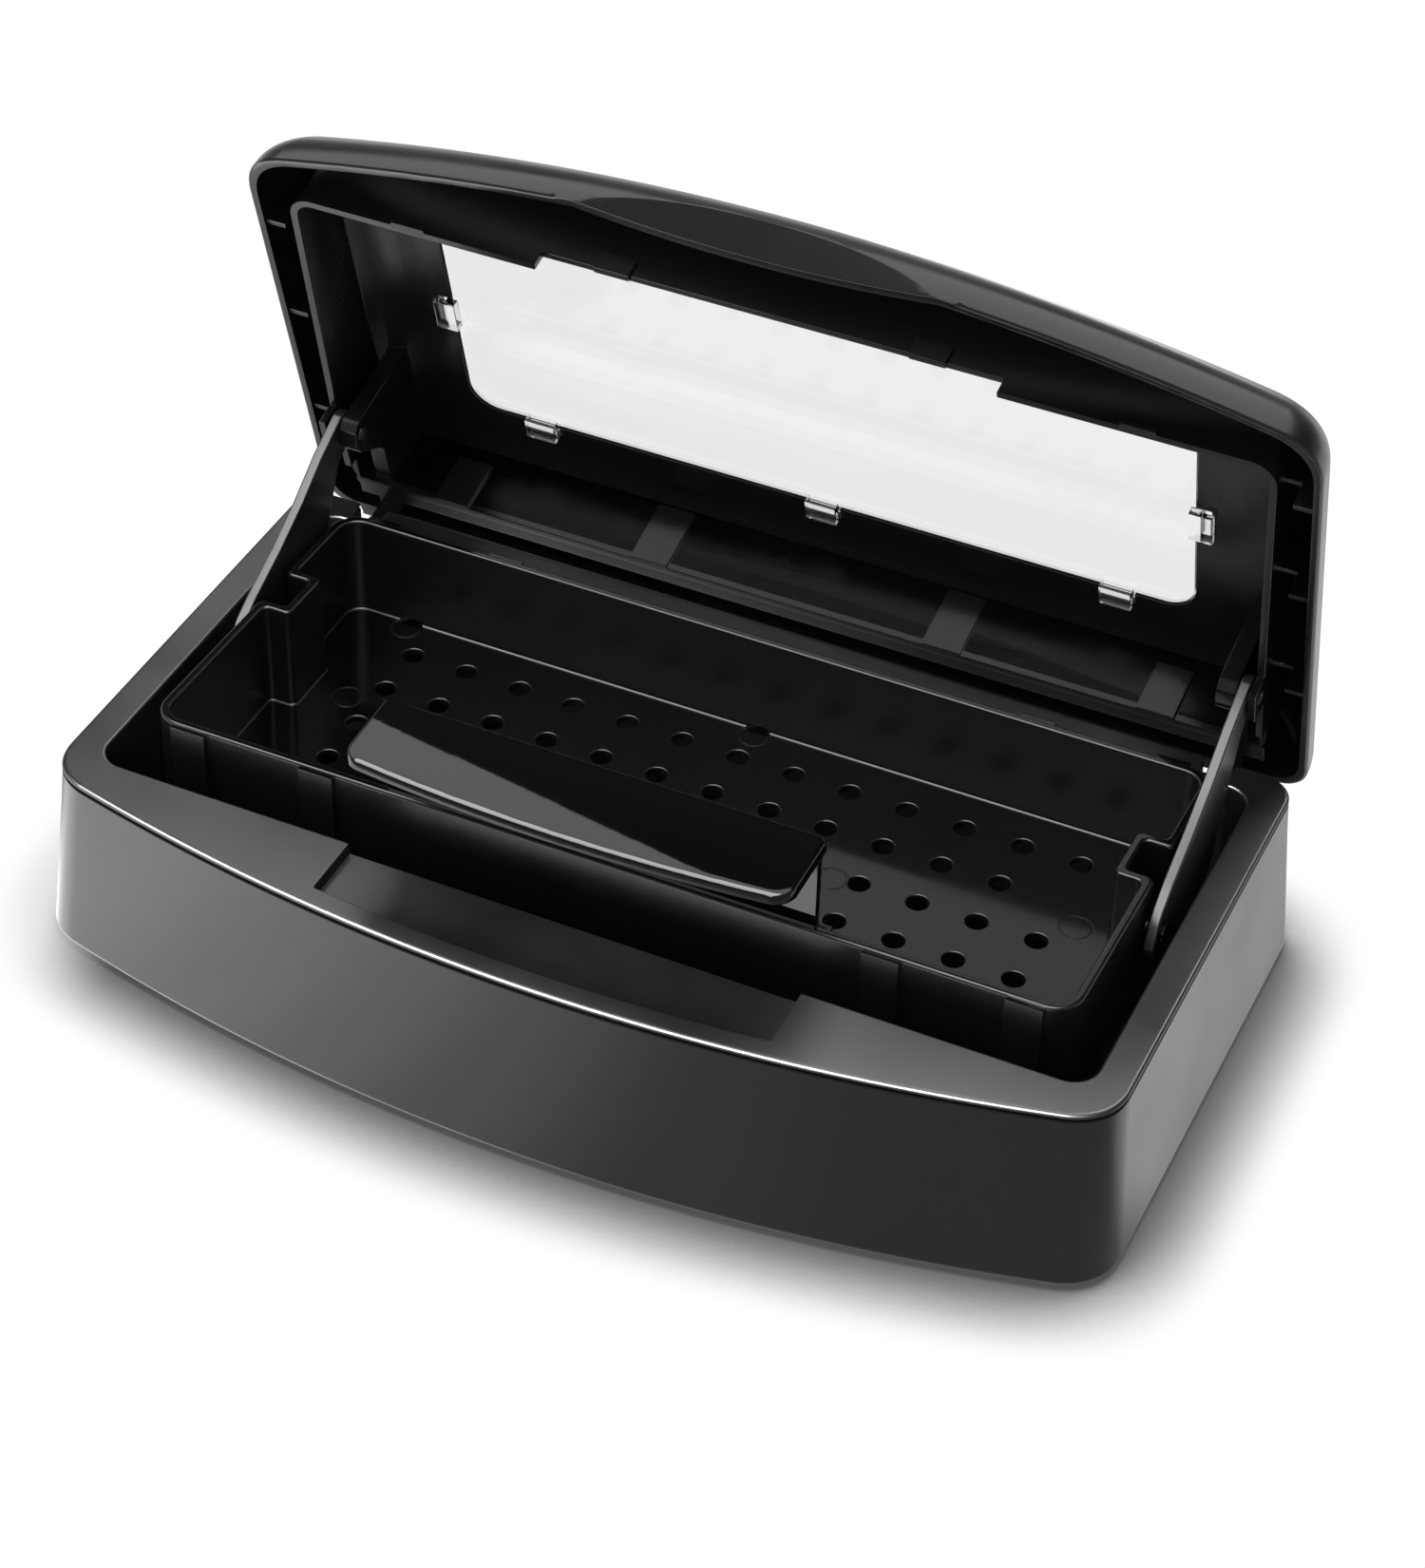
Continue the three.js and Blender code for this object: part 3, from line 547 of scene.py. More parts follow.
def put(o, piece, body, material, bevel=0.0, segments=2, lid=False):
    """Finishes a solid and puts it in place of the frame's piece, riding on the body."""
    tidy(o.data)
    if bevel:
        m = o.modifiers.new("round", "BEVEL")
        m.width, m.segments, m.limit_method = bevel, segments, "ANGLE"
        m.angle_limit = math.radians(32)
        m.use_clamp_overlap = False
        m.miter_outer = "MITER_ARC"
        m.harden_normals = False
        rounded_mesh = evaluated(o)
        o.modifiers.clear()
        o.data = rounded_mesh
    mesh = o.data
    if lid:
        # the front edge is level: the rounding leaves no spikes below it
        for v in mesh.vertices:
            if v.co.y < -40 and v.co.z < LID_Z:
                v.co.z = LID_Z
    mesh.transform(TO_ROW @ OPENED if lid else TO_ROW)
    mesh.name = o.name = piece + "_fine"
    for p in mesh.polygons:
        p.use_smooth = True
    mesh.set_sharp_from_angle(angle=math.radians(38))
    m = o.modifiers.new("weighted", "WEIGHTED_NORMAL")
    m.keep_sharp = True
    m.weight = 60
    mesh.materials.clear()
    mesh.materials.append(material)
    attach(o, body)
    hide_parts(piece)


# ------------------------------------------------------------------ base shell
SHELL_T, FLOOR_T = 2.2, 1.2
# how far the foot of the shell stands out past its top
FLARE_X, FLARE_FRONT, FLARE_BACK = 3.2, 5.5, 2.4
SHELL_SWELL, SWELL_END = 0.4, 34  # extra girth at the foot, gone at this height
BOSS_FRONT, BOSS_UNDER = OPEN_BACK + TANK_T + 0.4, 27
SLOT_UNDER = HINGE_Z - 4.2
FOOT_HOLE_R, FOOT_SEAT_R, SCREW_HOLE_R, SCREW_SEAT_R, SEAT_DEPTH = 2.3, 7.0, 1.9, 3.8, 0.25


def shell_level(z, grow=0.0):
    k = 1 - z / DECK_Z
    return (z, FLARE_X * k + grow, FLARE_FRONT * k + grow, FLARE_BACK * k + grow)


def under_discs(z1, foot_r, foot_n, screw_r, screw_n):
    """Discs through the underside at the feet and at the screws."""
    feet = [bar_z(x, y, -1, z1, foot_r, foot_n) for x in FOOT_XS for y in FOOT_YS]
    screws = [bar_z(x, SCREW_Y, -1, z1, screw_r, screw_n) for x in SCREW_XS]
    return feet, screws


def base_shell():
    levels = [shell_level(z, SHELL_SWELL - e) for z, e in fillet(0, 1.6, 8, up=False)]
    for z in (6, 14, 24, SWELL_END):
        levels.append(shell_level(z, SHELL_SWELL * (1 - z / SWELL_END)))
    levels += [shell_level(z, -e) for z, e in fillet(SHELL_TOP, 0.45, 4)]
    inner = loft([shell_level(FLOOR_T, -SHELL_T), shell_level(SHELL_TOP + 1, -SHELL_T)])
    shell = cut(loft(levels), inner)
    for s in (-1, 1):
        boss = common(
            side_box(s, BOSS_X0, BOSS_X1, BOSS_FRONT, 64, BOSS_UNDER, SHELL_TOP),
            loft([shell_level(0), shell_level(SHELL_TOP)]),
        )
        join(shell, boss)
        x0, x1 = span(s, LUG_X0 - 6, LUG_X1 + 6)
        cut(
            shell,
            side_box(s, SLOT_X0, SLOT_X1, SLOT_FRONT, 70, SLOT_UNDER, 60),
            bar_x(x0, x1, HINGE_Y, HINGE_Z, PIN_R + 0.15),
        )
    feet, screws = under_discs(3, FOOT_HOLE_R, 32, SCREW_HOLE_R, 32)
    cut(shell, merged(screws + feet))
    # shallow seats round the feet and screws
    feet, screws = under_discs(SEAT_DEPTH, FOOT_SEAT_R, 64, SCREW_SEAT_R, 48)
    return cut(shell, merged(feet + screws))


put(base_shell(), "base_shell", "base", SHELL, bevel=0.15)

# ------------------------------------------------------------------ deck and tank
TANK_FLOOR, TANK_UNDER, TANK_R = 3.2, 1.5, 6
RECESS_X, RECESS_FRONT, RECESS_Z = 53.3, -66.0, 41.6
POST_R, POST_BORE_R, POST_TOP = 3.4, 1.25, RECESS_Z - 1


def tank_plan(grow):
    return rounded(
        -OPEN_X - grow, OPEN_X + grow, OPEN_FRONT - grow, OPEN_BACK + grow, TANK_R + grow
    )


def tank_hollow(edge):
    """Inside of the tank, with a rounded lip of radius edge at the deck."""
    levels = [(TANK_FLOOR, 0.0)] + fillet(DECK_Z, edge) + [(DECK_Z + 1, edge)]
    return rings([flat(tank_plan(grow), z) for z, grow in levels])


def recess(side, front, back_y, z0, z1):
    """Bow-fronted block in front of the tank, grown by side and front."""
    half = RECESS_X + side
    points = []
    for x in spread(-half, half, 28):
        bow = BOW * ((RECESS_X / HALF_W) ** 2 - (x / HALF_W) ** 2)
        points.append((x, RECESS_FRONT - front - bow))
    return prism(points + [(half, back_y), (-half, back_y)], z0, z1)


def tank_deck():
    # (z, growth at side, front, back)
    levels = [
        (DECK_UNDER, -0.1, -0.05, -0.2),
        (DECK_UNDER + 0.25, 0.2, 0.25, 0.08),
    ]
    levels += [(z, 0.15 - e, 0.2 - e, 0.02 - e) for z, e in fillet(DECK_Z, 0.85, 8)]
    deck = loft(levels)
    join(
        deck,
        prism(tank_plan(TANK_T), TANK_UNDER, DECK_UNDER + 0.5),
        recess(2, 1.8, OPEN_FRONT - 0.5, RECESS_Z - 2, DECK_UNDER + 0.5),
    )
    # screw posts, each with a web back to the tank
    join(deck, *[bar_z(x, SCREW_Y, TANK_UNDER, POST_TOP, POST_R) for x in SCREW_XS])
    join(
        deck,
        *[
            box(x - 1, x + 1, SCREW_Y, OPEN_FRONT - 1, TANK_UNDER, POST_TOP)
            for x in SCREW_XS
        ],
    )
    cut(
        deck,
        tank_hollow(0.7),
        recess(0, 0, OPEN_FRONT + 1, RECESS_Z, DECK_Z + 1),
        merged([bar_z(x, SCREW_Y, 0, 12, POST_BORE_R, 24) for x in SCREW_XS]),
    )
    for s in (-1, 1):
        cut(
            deck,
            side_box(s, SLOT_X0, SLOT_X1, SLOT_FRONT, 70, DECK_UNDER - 1, DECK_Z + 1),
        )
    return deck


put(tank_deck(), "tank_deck", "base", DECK, bevel=0.35)

# ------------------------------------------------------------------ feet, screws, hinge pins
FOOT_H = 1.2
# (radius, height): sole with a hollow middle, seat, stem through the floor
FOOT_PROFILE = [
    (1.2, -FOOT_H + 0.45), (3.4, -FOOT_H + 0.4), (3.7, -FOOT_H), (5.1, -FOOT_H),
    (5.6, -FOOT_H + 0.1), (5.9, -FOOT_H + 0.35), (6.0, -FOOT_H + 0.6),
    (6.0, 0.1), (2.0, 0.15), (2.0, 1.0), (1.6, FLOOR_T),
]
# (radius, height) of the screw's head
SCREW_HEAD = [
    (1.5, -1.0), (2.1, -0.98), (2.5, -0.85), (2.75, -0.65), (2.8, -0.35),
    (2.7, -0.28), (1.1, -0.25),
]
THREAD_START, THREAD_PITCH, THREAD_TURNS = 0.4, 0.6, 15
SLOT_HALF_L, SLOT_HALF_W, SLOT_BOTTOM = 1.5, 0.3, -0.55  # cross slot in the head


def screw(x):
    profile = list(SCREW_HEAD)
    for turn in range(THREAD_TURNS):
        z = THREAD_START + THREAD_PITCH * turn
        profile += [(1.0, z), (1.15, z + 0.22), (1.0, z + 0.44)]
    profile += [(0.9, 9.6), (0.15, 10.5)]
    long, thin = SLOT_HALF_L, SLOT_HALF_W
    cross = [
        box(x - dx, x + dx, SCREW_Y - dy, SCREW_Y + dy, -1.5, SLOT_BOTTOM)
        for dx, dy in ((long, thin), (thin, long))
    ]
    return cut(turned_z(x, SCREW_Y, profile, 36), join(*cross))


for end, y in zip(("front", "back"), FOOT_YS):
    for side, x in zip(("left", "right"), FOOT_XS):
        foot = turned_z(x, y, FOOT_PROFILE)
        put(foot, "foot_%s_%s" % (end, side), "base", RUBBER)

for side, x in zip(("left", "centre", "right"), SCREW_XS):
    put(screw(x), "screw_" + side, "base", STEEL)

for side, s in (("left", -1), ("right", 1)):
    hinge_pin = pin(s, HINGE_Y, HINGE_Z, BOSS_X0 + 0.2, BOSS_X1 - 0.2, PIN_R)
    put(hinge_pin, "hinge_pin_" + side, "base", STEEL)

# ------------------------------------------------------------------ lid, drawn closed
DOME_SIDE, DOME_FRONT, DOME_BACK, DOME_POWER = 26.0, 30.0, 9.0, 2.12
SCOOP_X, SCOOP_Y, SCOOP_LEAN, SCOOP_T = 46, -69.3, 0.46, 2.2
RIB_X, RIB_T, RIB_FRONT, RIB_Z, RIB_R = 115.3, 1.7, -48.3, 42.0, 6
REAR_WALL, REAR_WALL_Z = 46.6, 44.6
NOTCH_X, NOTCH_Z = 53.8, 49.0
BRACKET_X0, BRACKET_X1 = 106.1, 110.4
ABOVE = 75  # clear of the dome; what stands past the dome is trimmed off
# small blocks on the rib frame, mirrored left and right: (x0, x1, y0, y1, z0, z1)
RIB_BLOCKS = (
    (32.6, 41.1, RIB_FRONT - 0.8, RIB_FRONT + 1, NOTCH_Z - 0.9, 53),
    (81, 89, RIB_FRONT - 0.8, RIB_FRONT + 1, RIB_Z - 0.9, 46.5),
    (32.3, 41.8, REAR_WALL - 0.7, REAR_WALL + 1, REAR_WALL_Z, 61.5),
    (84.6, 93.6, REAR_WALL - 0.7, REAR_WALL + 1, REAR_WALL_Z, 58.5),
)
# stiffening fins outside the rib frame, and (inner x, underside) of their two steps
FIN_YS, FIN_HALF_T, FIN_X1 = (-36.4, -7, 26), 0.7, 124
FIN_STEPS = ((RIB_X - 0.5, 52.5), (118.4, 46.2))
# (y, z) outline of the bracket that holds an arm's pivot pin
BRACKET_YZ = [
    (18, ABOVE), (18, 40.4), (18.4, 38.4), (19.6, 36.9), (22, 36.2), (24.5, 36.2),
    (27, 37.6), (32, 43.5), (34, 45.6), (36, 46.5), (47.5, 46.5), (47.5, ABOVE),
]
# window clips: half width, reach inside the opening, stem's and hook's reach past it
CLIP_XS, CLIP_HALF, CLIP_IN, STEM_OUT, HOOK_OUT = (-72.5, 0, 72.5), 3.8, 1.4, 1.2, 4.2
SIDE_CLIP_Y0, SIDE_CLIP_Y1 = -3.3, 5.3
CLIP_GAP, CLIP_SLOT = 0.4, 3.4  # slack beside a clip, depth of its slot in the lid
HOOK_TOP, HOOK_T = LID_TOP - LID_T - 0.3, 1.5
PANE_OVERLAP, PANE_GAP = 4, 0.35


def dome(inset, low, edge=0.0, n=26):
    """The lid's outer form moved in by inset, from z = low, with a rounded lower edge."""
    start = fillet(low, edge, 4, up=False) if edge else [(low, 0)]
    levels = [(z, -inset - e, -inset - e, -inset - e) for z, e in start]
    levels.append((LID_SHOULDER, -inset, -inset, -inset))
    for i in range(1, n + 1):
        a = i / n * math.pi / 2
        u = 1 - max(math.cos(a), 0) ** (2 / DOME_POWER)
        rise = math.sin(a) ** (2 / DOME_POWER)
        levels.append(
            (
                LID_SHOULDER + (LID_TOP - inset - LID_SHOULDER) * rise,
                -inset - (DOME_SIDE - inset) * u,
                -inset - (DOME_FRONT - inset) * u,
                -inset - (DOME_BACK - inset * 0.6) * u,
            )
        )
    return loft(levels)


def scoop(offset, far_y):
    """Leaning block whose back face is the scoop in the lid's front."""
    points = [
        (x, SCOOP_Y - 2.8 * (x / 39.9) ** 2 + offset)
        for x in spread(-SCOOP_X, SCOOP_X, 40)
    ]
    points += [(SCOOP_X, far_y), (-SCOOP_X, far_y)]
    return rings(
        [[(x, y - (z - LID_Z) * SCOOP_LEAN, z) for x, y in points] for z in (40, 62)]
    )


def lid_ribs():
    """Frame of ribs inside the lid, with its blocks, fins and arm brackets."""
    ribs = cut(
        prism(
            rounded(-RIB_X, RIB_X, RIB_FRONT, REAR_WALL + RIB_T + 1, RIB_R), RIB_Z, ABOVE
        ),
        prism(
            rounded(-RIB_X + RIB_T, RIB_X - RIB_T, RIB_FRONT + RIB_T, 80, RIB_R - RIB_T),
            20, 90,
        ),
        box(-NOTCH_X, NOTCH_X, -60, -40, 30, NOTCH_Z),
        box(-200, 200, REAR_WALL + RIB_T + 0.5, 90, 0, 100),
        box(-200, 200, 40, 90, 0, REAR_WALL_Z),
    )
    # rear wall and the ledge behind it
    x0, x1 = -RIB_X + 0.5, RIB_X - 0.5
    join(
        ribs,
        box(x0, x1, REAR_WALL, REAR_WALL + 1.9, REAR_WALL_Z, ABOVE),
        box(x0, x1, REAR_WALL + 1.5, 53.2, LID_Z + 0.3, LID_Z + 2.1),
    )
    for s in (-1, 1):
        join(ribs, *[side_box(s, *block) for block in RIB_BLOCKS])
        for y in FIN_YS:
            for x, under in FIN_STEPS:
                fin = side_box(s, x, FIN_X1, y - FIN_HALF_T, y + FIN_HALF_T, under, ABOVE)
                join(ribs, fin)
        join(
            ribs,
            plate_x(BRACKET_YZ, *span(s, BRACKET_X0, BRACKET_X1)),
            side_box(s, RIB_X - RIB_T, RIB_X, 18, 27, 36.2, 44),
        )
    return ribs


def hinge_lug(s):
    x0, x1 = span(s, LUG_X0, LUG_X1)
    return join(
        bar_x(x0, x1, HINGE_Y, HINGE_Z, 2.9, 40),
        box(x0, x1, HINGE_Y - 2.9, HINGE_Y + 1.6, HINGE_Z, LID_Z + 1.6),
        box(x0, x1, 51.5, HINGE_Y + 1.2, LID_Z + 0.3, LID_Z + 3.5),
        box(x0 - 6, x1 + 6, 58, 62, LID_Z, LID_Z + 1.8),
    )


def window_opening():
    opening = prism(rounded(-WIN_X, WIN_X, WIN_FRONT, WIN_BACK, WIN_R), 60, 80)
    half = CLIP_HALF + CLIP_GAP
    for x in CLIP_XS:
        y0, y1 = WIN_FRONT - CLIP_SLOT, WIN_BACK + CLIP_SLOT
        join(opening, box(x - half, x + half, y0, y1, 60, 80))
    x1 = WIN_X + CLIP_SLOT
    y0, y1 = SIDE_CLIP_Y0 - CLIP_GAP, SIDE_CLIP_Y1 + CLIP_GAP
    return join(opening, box(-x1, x1, y0, y1, 60, 80))


def lid_shell():
    lid = cut(dome(0, LID_Z, edge=0.7), dome(LID_T, 29))
    join(lid, common(scoop(SCOOP_T, -90), dome(0, LID_Z)))
    join(lid, common(lid_ribs(), dome(0.05, 29)))
    for s in (-1, 1):
        join(lid, hinge_lug(s))
        cut(
            lid,
            bar_x(*span(s, LUG_X0 - 1, LUG_X1 + 1), HINGE_Y, HINGE_Z, PIN_R + 0.2),
            bar_x(*span(s, 104, 117), *ARM_PIVOT, ARM_HOLE_R),
        )
    return cut(lid, scoop(0, -100), window_opening())


def lid_window():
    """Pane that overlaps the opening, a plug inside it and hooked clips all round."""
    levels = [(LID_TOP + 0.35, 0.15), (LID_TOP + 0.5, 0.0)]
    levels += fillet(LID_TOP + 1.85, 0.6)
    pane = []
    for z, e in levels:
        grow = PANE_OVERLAP - e
        plan = rounded(
            -WIN_X - grow, WIN_X + grow, WIN_FRONT - grow, WIN_BACK + grow, WIN_R + 3 - e
        )
        pane.append(flat(plan, z))
    gap = PANE_GAP
    plug = rounded(
        -WIN_X + gap, WIN_X - gap, WIN_FRONT + gap, WIN_BACK - gap, WIN_R - 0.3
    )
    window = join(rings(pane), prism(plug, LID_TOP - 1.6, LID_TOP + 0.6))
    stem_z, hook_z = (HOOK_TOP - HOOK_T, LID_TOP + 0.6), (HOOK_TOP - HOOK_T, HOOK_TOP)
    for x in CLIP_XS:
        x0, x1 = x - CLIP_HALF, x + CLIP_HALF
        for edge, out in ((WIN_BACK, 1), (WIN_FRONT, -1)):
            stem_y = edge + out * STEM_OUT
            y0, y1 = sorted((stem_y, edge + out * HOOK_OUT))
            join(
                window,
                box(x0, x1, *sorted((edge - out * CLIP_IN, stem_y)), *stem_z),
                box(x0, x1, y0 - 0.05, y1 + 0.05, *hook_z),
            )
    for s in (-1, 1):
        y0, y1 = SIDE_CLIP_Y0, SIDE_CLIP_Y1
        join(
            window,
            side_box(s, WIN_X - CLIP_IN, WIN_X + STEM_OUT, y0, y1, *stem_z),
            side_box(s, WIN_X + 1.1, WIN_X + HOOK_OUT, y0, y1, *hook_z),
        )
    return window


put(lid_shell(), "lid_shell", "lid", INSIDE, bevel=0.22, lid=True)
put(lid_window(), "lid_window", "lid", CLEAR, bevel=0.15, lid=True)
for side, s in (("left", -1), ("right", 1)):
    pivot_pin = pin(s, *ARM_PIVOT, BRACKET_X0 + 0.3, RIB_X - 0.2, ARM_PIN_R)
    put(pivot_pin, "arm_pivot_pin_" + side, "lid", STEEL, lid=True)

# ------------------------------------------------------------------ lift arms
ARM_X0, ARM_X1 = 110.7, 113.2
pivot = OPENED @ Vector((0, *ARM_PIVOT))  # with the lid open
# (y, z) outline: the round head at the pivot, down the back, round the foot and up
ARM_YZ = arc(pivot.y, pivot.z, 4.6, -60, 110, 20) + [
    (42.6, 68.4), (33.2, 61.8), (22, 55.4), (10, 49.8), (4.6, 46.6), (2.4, 43.9),
    (0.2, 38.3), (1.6, 35.6), (6, 34.6), (20, 32.2), (34, 30.4), (38.2, 33.0),
    (41.6, 42.5), (46.6, 53), (50.4, 62),
]
# (radius, x): inner head, journal through the arm, outer head
ROLLER_PROFILE = [
    (2.0, 109.7), (2.35, 109.85), (2.35, ARM_X0 - 0.35), (1.5, ARM_X0 - 0.3),
    (1.5, ARM_X1 + 0.3), (2.5, ARM_X1 + 0.35), (2.6, ARM_X1 + 0.5),
    (2.5, ARM_X1 + 1.0), (2.0, ARM_X1 + 1.3),
]


def lift_arm(s):
    x0, x1 = span(s, 109, 115)
    return cut(
        plate_x(ARM_YZ, *span(s, ARM_X0, ARM_X1)),
        bar_x(x0, x1, pivot.y, pivot.z, ARM_HOLE_R),
        bar_x(x0, x1, *ARM_TIP, ARM_HOLE_R),
    )


for side, s in (("left", -1), ("right", 1)):
    body = "arm_" + side
    put(lift_arm(s), "lift_arm_" + side, body, ARM, bevel=0.45, segments=3)
    roller = turned_x(s, *ARM_TIP, ROLLER_PROFILE)
    put(roller, "lift_roller_" + side, body, DARK_STEEL)

# ------------------------------------------------------------------ tray
TRAY_X, TRAY_FRONT, TRAY_BACK, TRAY_R, TRAY_T = 109.2, -39.8, 49.6, 7.0, 2.2
TRAY_FLOOR, TRAY_UNDER, RIM_FRONT, RIM_BACK = 23.6, 21.8, 52.5, 49.4
POCKET_Y0, POCKET_Y1, POCKET_X = 9.6, 20.8, 102.6  # pockets in the side walls
PAD_XS, PAD_OUT = ((62.5, 71), (94.5, 103)), 1.3  # pads on the front and back walls
HOLE_R, HOLE_PITCH, HOLE_FLARE = 2.5, 14.1, 0.35
HOLE_ROWS = (36.3, 22.4, 8.4, -5.3, -19.3)
MARKS = ((0.2, 44.6), (91.0, 16.0), (36.2, 7.1), (-91.0, 44.6), (-91.0, 15.5))
# the handle's riser stands against the tray's front wall
RISER_X, RISER_Y0, RISER_Y1, RISER_FOOT = 50.5, -37.3, -35.0, 33.0
GUIDE_TOP, GUIDE_BACK = 49, RISER_Y1 + 1.9


def tray_plan(inset, n=12):
    """The tray's outline, moved in."""
    x, pocket_x = TRAY_X - inset, POCKET_X - inset
    r = max(TRAY_R - inset, 1)
    y0, y1 = TRAY_FRONT + inset, TRAY_BACK - inset
    pocket_y0, pocket_y1 = POCKET_Y0 - inset, POCKET_Y1 + inset
    q = 1.6 if inset else 1.2  # corner radius of the pocket
    right_half = (
        arc(x - r, y0 + r, r, -90, 0, n)
        + arc(x - q, pocket_y0 - q, q, 0, 90, 5)
        + arc(pocket_x + q, pocket_y0 + q, q, 270, 180, 5)
        + arc(pocket_x + q, pocket_y1 - q, q, 180, 90, 5)
        + arc(x - q, pocket_y1 + q, q, 270, 360, 5)
        + arc(x - r, y1 - r, r, 0, 90, n)
    )
    return right_half + [(-x, y) for x, y in reversed(right_half)]


def rim_ring(points, rise):
    """Ring at a height above the rim, which slopes down to the back."""
    slope = RIM_BACK - RIM_FRONT
    depth = TRAY_BACK - TRAY_FRONT
    return [(x, y, RIM_FRONT + slope * (y - TRAY_FRONT) / depth + rise) for x, y in points]


def tray_outside():
    levels = [
        flat(tray_plan(inset), TRAY_UNDER + rise)
        for rise, inset in ((0, 0.6), (0.3, 0.15), (0.9, 0.0))
    ]
    levels += [rim_ring(tray_plan(e * 0.9), z) for z, e in fillet(0, 0.8)]
    return rings(levels)


def tray_inside():
    levels = [
        flat(tray_plan(TRAY_T + less), TRAY_FLOOR + rise)
        for rise, less in ((0, 0.5), (0.25, 0.12), (0.7, 0))
    ]
    levels += [rim_ring(tray_plan(TRAY_T - e), z) for z, e in fillet(0, 0.7)]
    levels.append(rim_ring(tray_plan(TRAY_T - 0.7), 2))
    return rings(levels)


def tray_hole(x, y):
    return turned_z(
        x,
        y,
        [
            (HOLE_R, TRAY_UNDER - 1),
            (HOLE_R, TRAY_FLOOR - 0.35),
            (HOLE_R + 0.1, TRAY_FLOOR - 0.12),
            (HOLE_R + HOLE_FLARE, TRAY_FLOOR + 0.01),
            (HOLE_R + HOLE_FLARE, TRAY_FLOOR + 1),
        ],
        28,
    )


def tray_piece():
    tray = tray_outside()
    for s in (-1, 1):
        for pad_x in PAD_XS:
            x0, x1 = span(s, *pad_x)
            for y0, y1 in (
                (TRAY_FRONT - PAD_OUT, TRAY_FRONT + 1),
                (TRAY_BACK - 1, TRAY_BACK + PAD_OUT),
            ):
                pad = [(x0, y0), (x1, y0), (x1, y1), (x0, y1)]
                join(tray, rings([flat(pad, TRAY_UNDER + 1), rim_ring(pad, -0.4)]))
    cut(tray, tray_inside())
    # an angle at each end of the handle's riser
    low = TRAY_FLOOR - 0.5
    for s in (-1, 1):
        join(
            tray,
            side_box(
                s, RISER_X + 0.4, RISER_X + 2.4, TRAY_FRONT + 1, GUIDE_BACK, low, GUIDE_TOP
            ),
            side_box(
                s, RISER_X - 1.8, RISER_X + 1, RISER_Y1 + 0.4, GUIDE_BACK, low, GUIDE_TOP
            ),
        )
    # the second row from the back has no hole at its right end
    holes = [
        tray_hole(i * HOLE_PITCH, y)
        for row, y in enumerate(HOLE_ROWS)
        for i in range(-6, 7)
        if (row, i) != (1, 6)
    ]
    cut(tray, merged(holes))
    # round ejector marks: a disc a hair below the floor in a deeper ring
    marks = [
        cut(
            bar_z(x, y, TRAY_FLOOR - 0.2, TRAY_FLOOR + 1, 3.9, 48),
            bar_z(x, y, TRAY_FLOOR - 1, TRAY_FLOOR - 0.05, 3.3, 48),
        )
        for x, y in MARKS
    ]
    return cut(tray, merged(marks))


put(tray_piece(), "tray", "tray", TRAY, bevel=0.12)

# ------------------------------------------------------------------ handle
HANDLE_X, HANDLE_R, HANDLE_BACK_R = 51.8, 5.0, 1.5
PLATE_Z, PLATE_FRONT_Z, PLATE_LIP, PLATE_T = 74.6, 74.1, 2.4, 3.1
PLATE_CORNER, PLATE_CENTRE = -56.0, -58.6  # y of the front edge
# (height from the plate's top, inset) from the underside up
PLATE_PROFILE = [
    (-PLATE_T, 0.55), (-PLATE_T + 0.15, 0.25), (-PLATE_T + 0.5, 0.05),
    (-PLATE_T + 1.0, 0.0), (-1.2, 0.12), (-0.62, 0.24), (-0.42, 0.31), (-0.24, 0.42),
    (-0.12, 0.54), (-0.04, 0.68), (0.0, 0.84),
]


def tray_handle():
    """Level grip plate on an upright riser."""
    front_x, corner_y = HANDLE_X - HANDLE_R, PLATE_CORNER + HANDLE_R
    back_x, back_y = HANDLE_X - HANDLE_BACK_R, RISER_Y1 - HANDLE_BACK_R
    plan = [
        (x, PLATE_CENTRE + (PLATE_CORNER - PLATE_CENTRE) * (x / front_x) ** 2)
        for x in spread(-front_x, front_x, 48)
    ]
    plan += arc(front_x, corner_y, HANDLE_R, -86, 0, 14)
    plan += arc(back_x, back_y, HANDLE_BACK_R, 0, 90, 6)
    plan += arc(-back_x, back_y, HANDLE_BACK_R, 90, 180, 6)
    plan += arc(-front_x, corner_y, HANDLE_R, 180, 266, 14)
    levels = []
    for height, inset in PLATE_PROFILE:
        ring = []
        for x, y in plan:
            # 0 at the back edge, 1 at the middle of the front edge
            k = max((y - RISER_Y1) / (PLATE_CENTRE - RISER_Y1), 0)
            ring.append(
                (
                    x * (1 - inset * 1.2 / HANDLE_X),
                    y + k * PLATE_LIP * inset,
                    PLATE_Z + (PLATE_FRONT_Z - PLATE_Z) * k + height,
                )
            )
        levels.append(ring)
    riser = box(-RISER_X, RISER_X, RISER_Y0, RISER_Y1, RISER_FOOT, PLATE_Z - 0.6)
    return join(rings(levels), riser)


put(tray_handle(), "tray_handle", "handle", GLOSS, bevel=0.2)

# ------------------------------------------------------------------ stage
THROUGH = 0.965  # how bright the studio is when looked at through the clear window
FLOOR_HALF = 6

half = FLOOR_HALF
floor_mesh = bpy.data.meshes.new("floor")
floor_mesh.from_pydata(
    [(-half, -half, 0), (half, -half, 0), (half, half, 0), (-half, half, 0)],
    [],
    [(0, 1, 2, 3)],
)
floor = bpy.data.objects.new("floor", floor_mesh)
bpy.context.scene.collection.objects.link(floor)


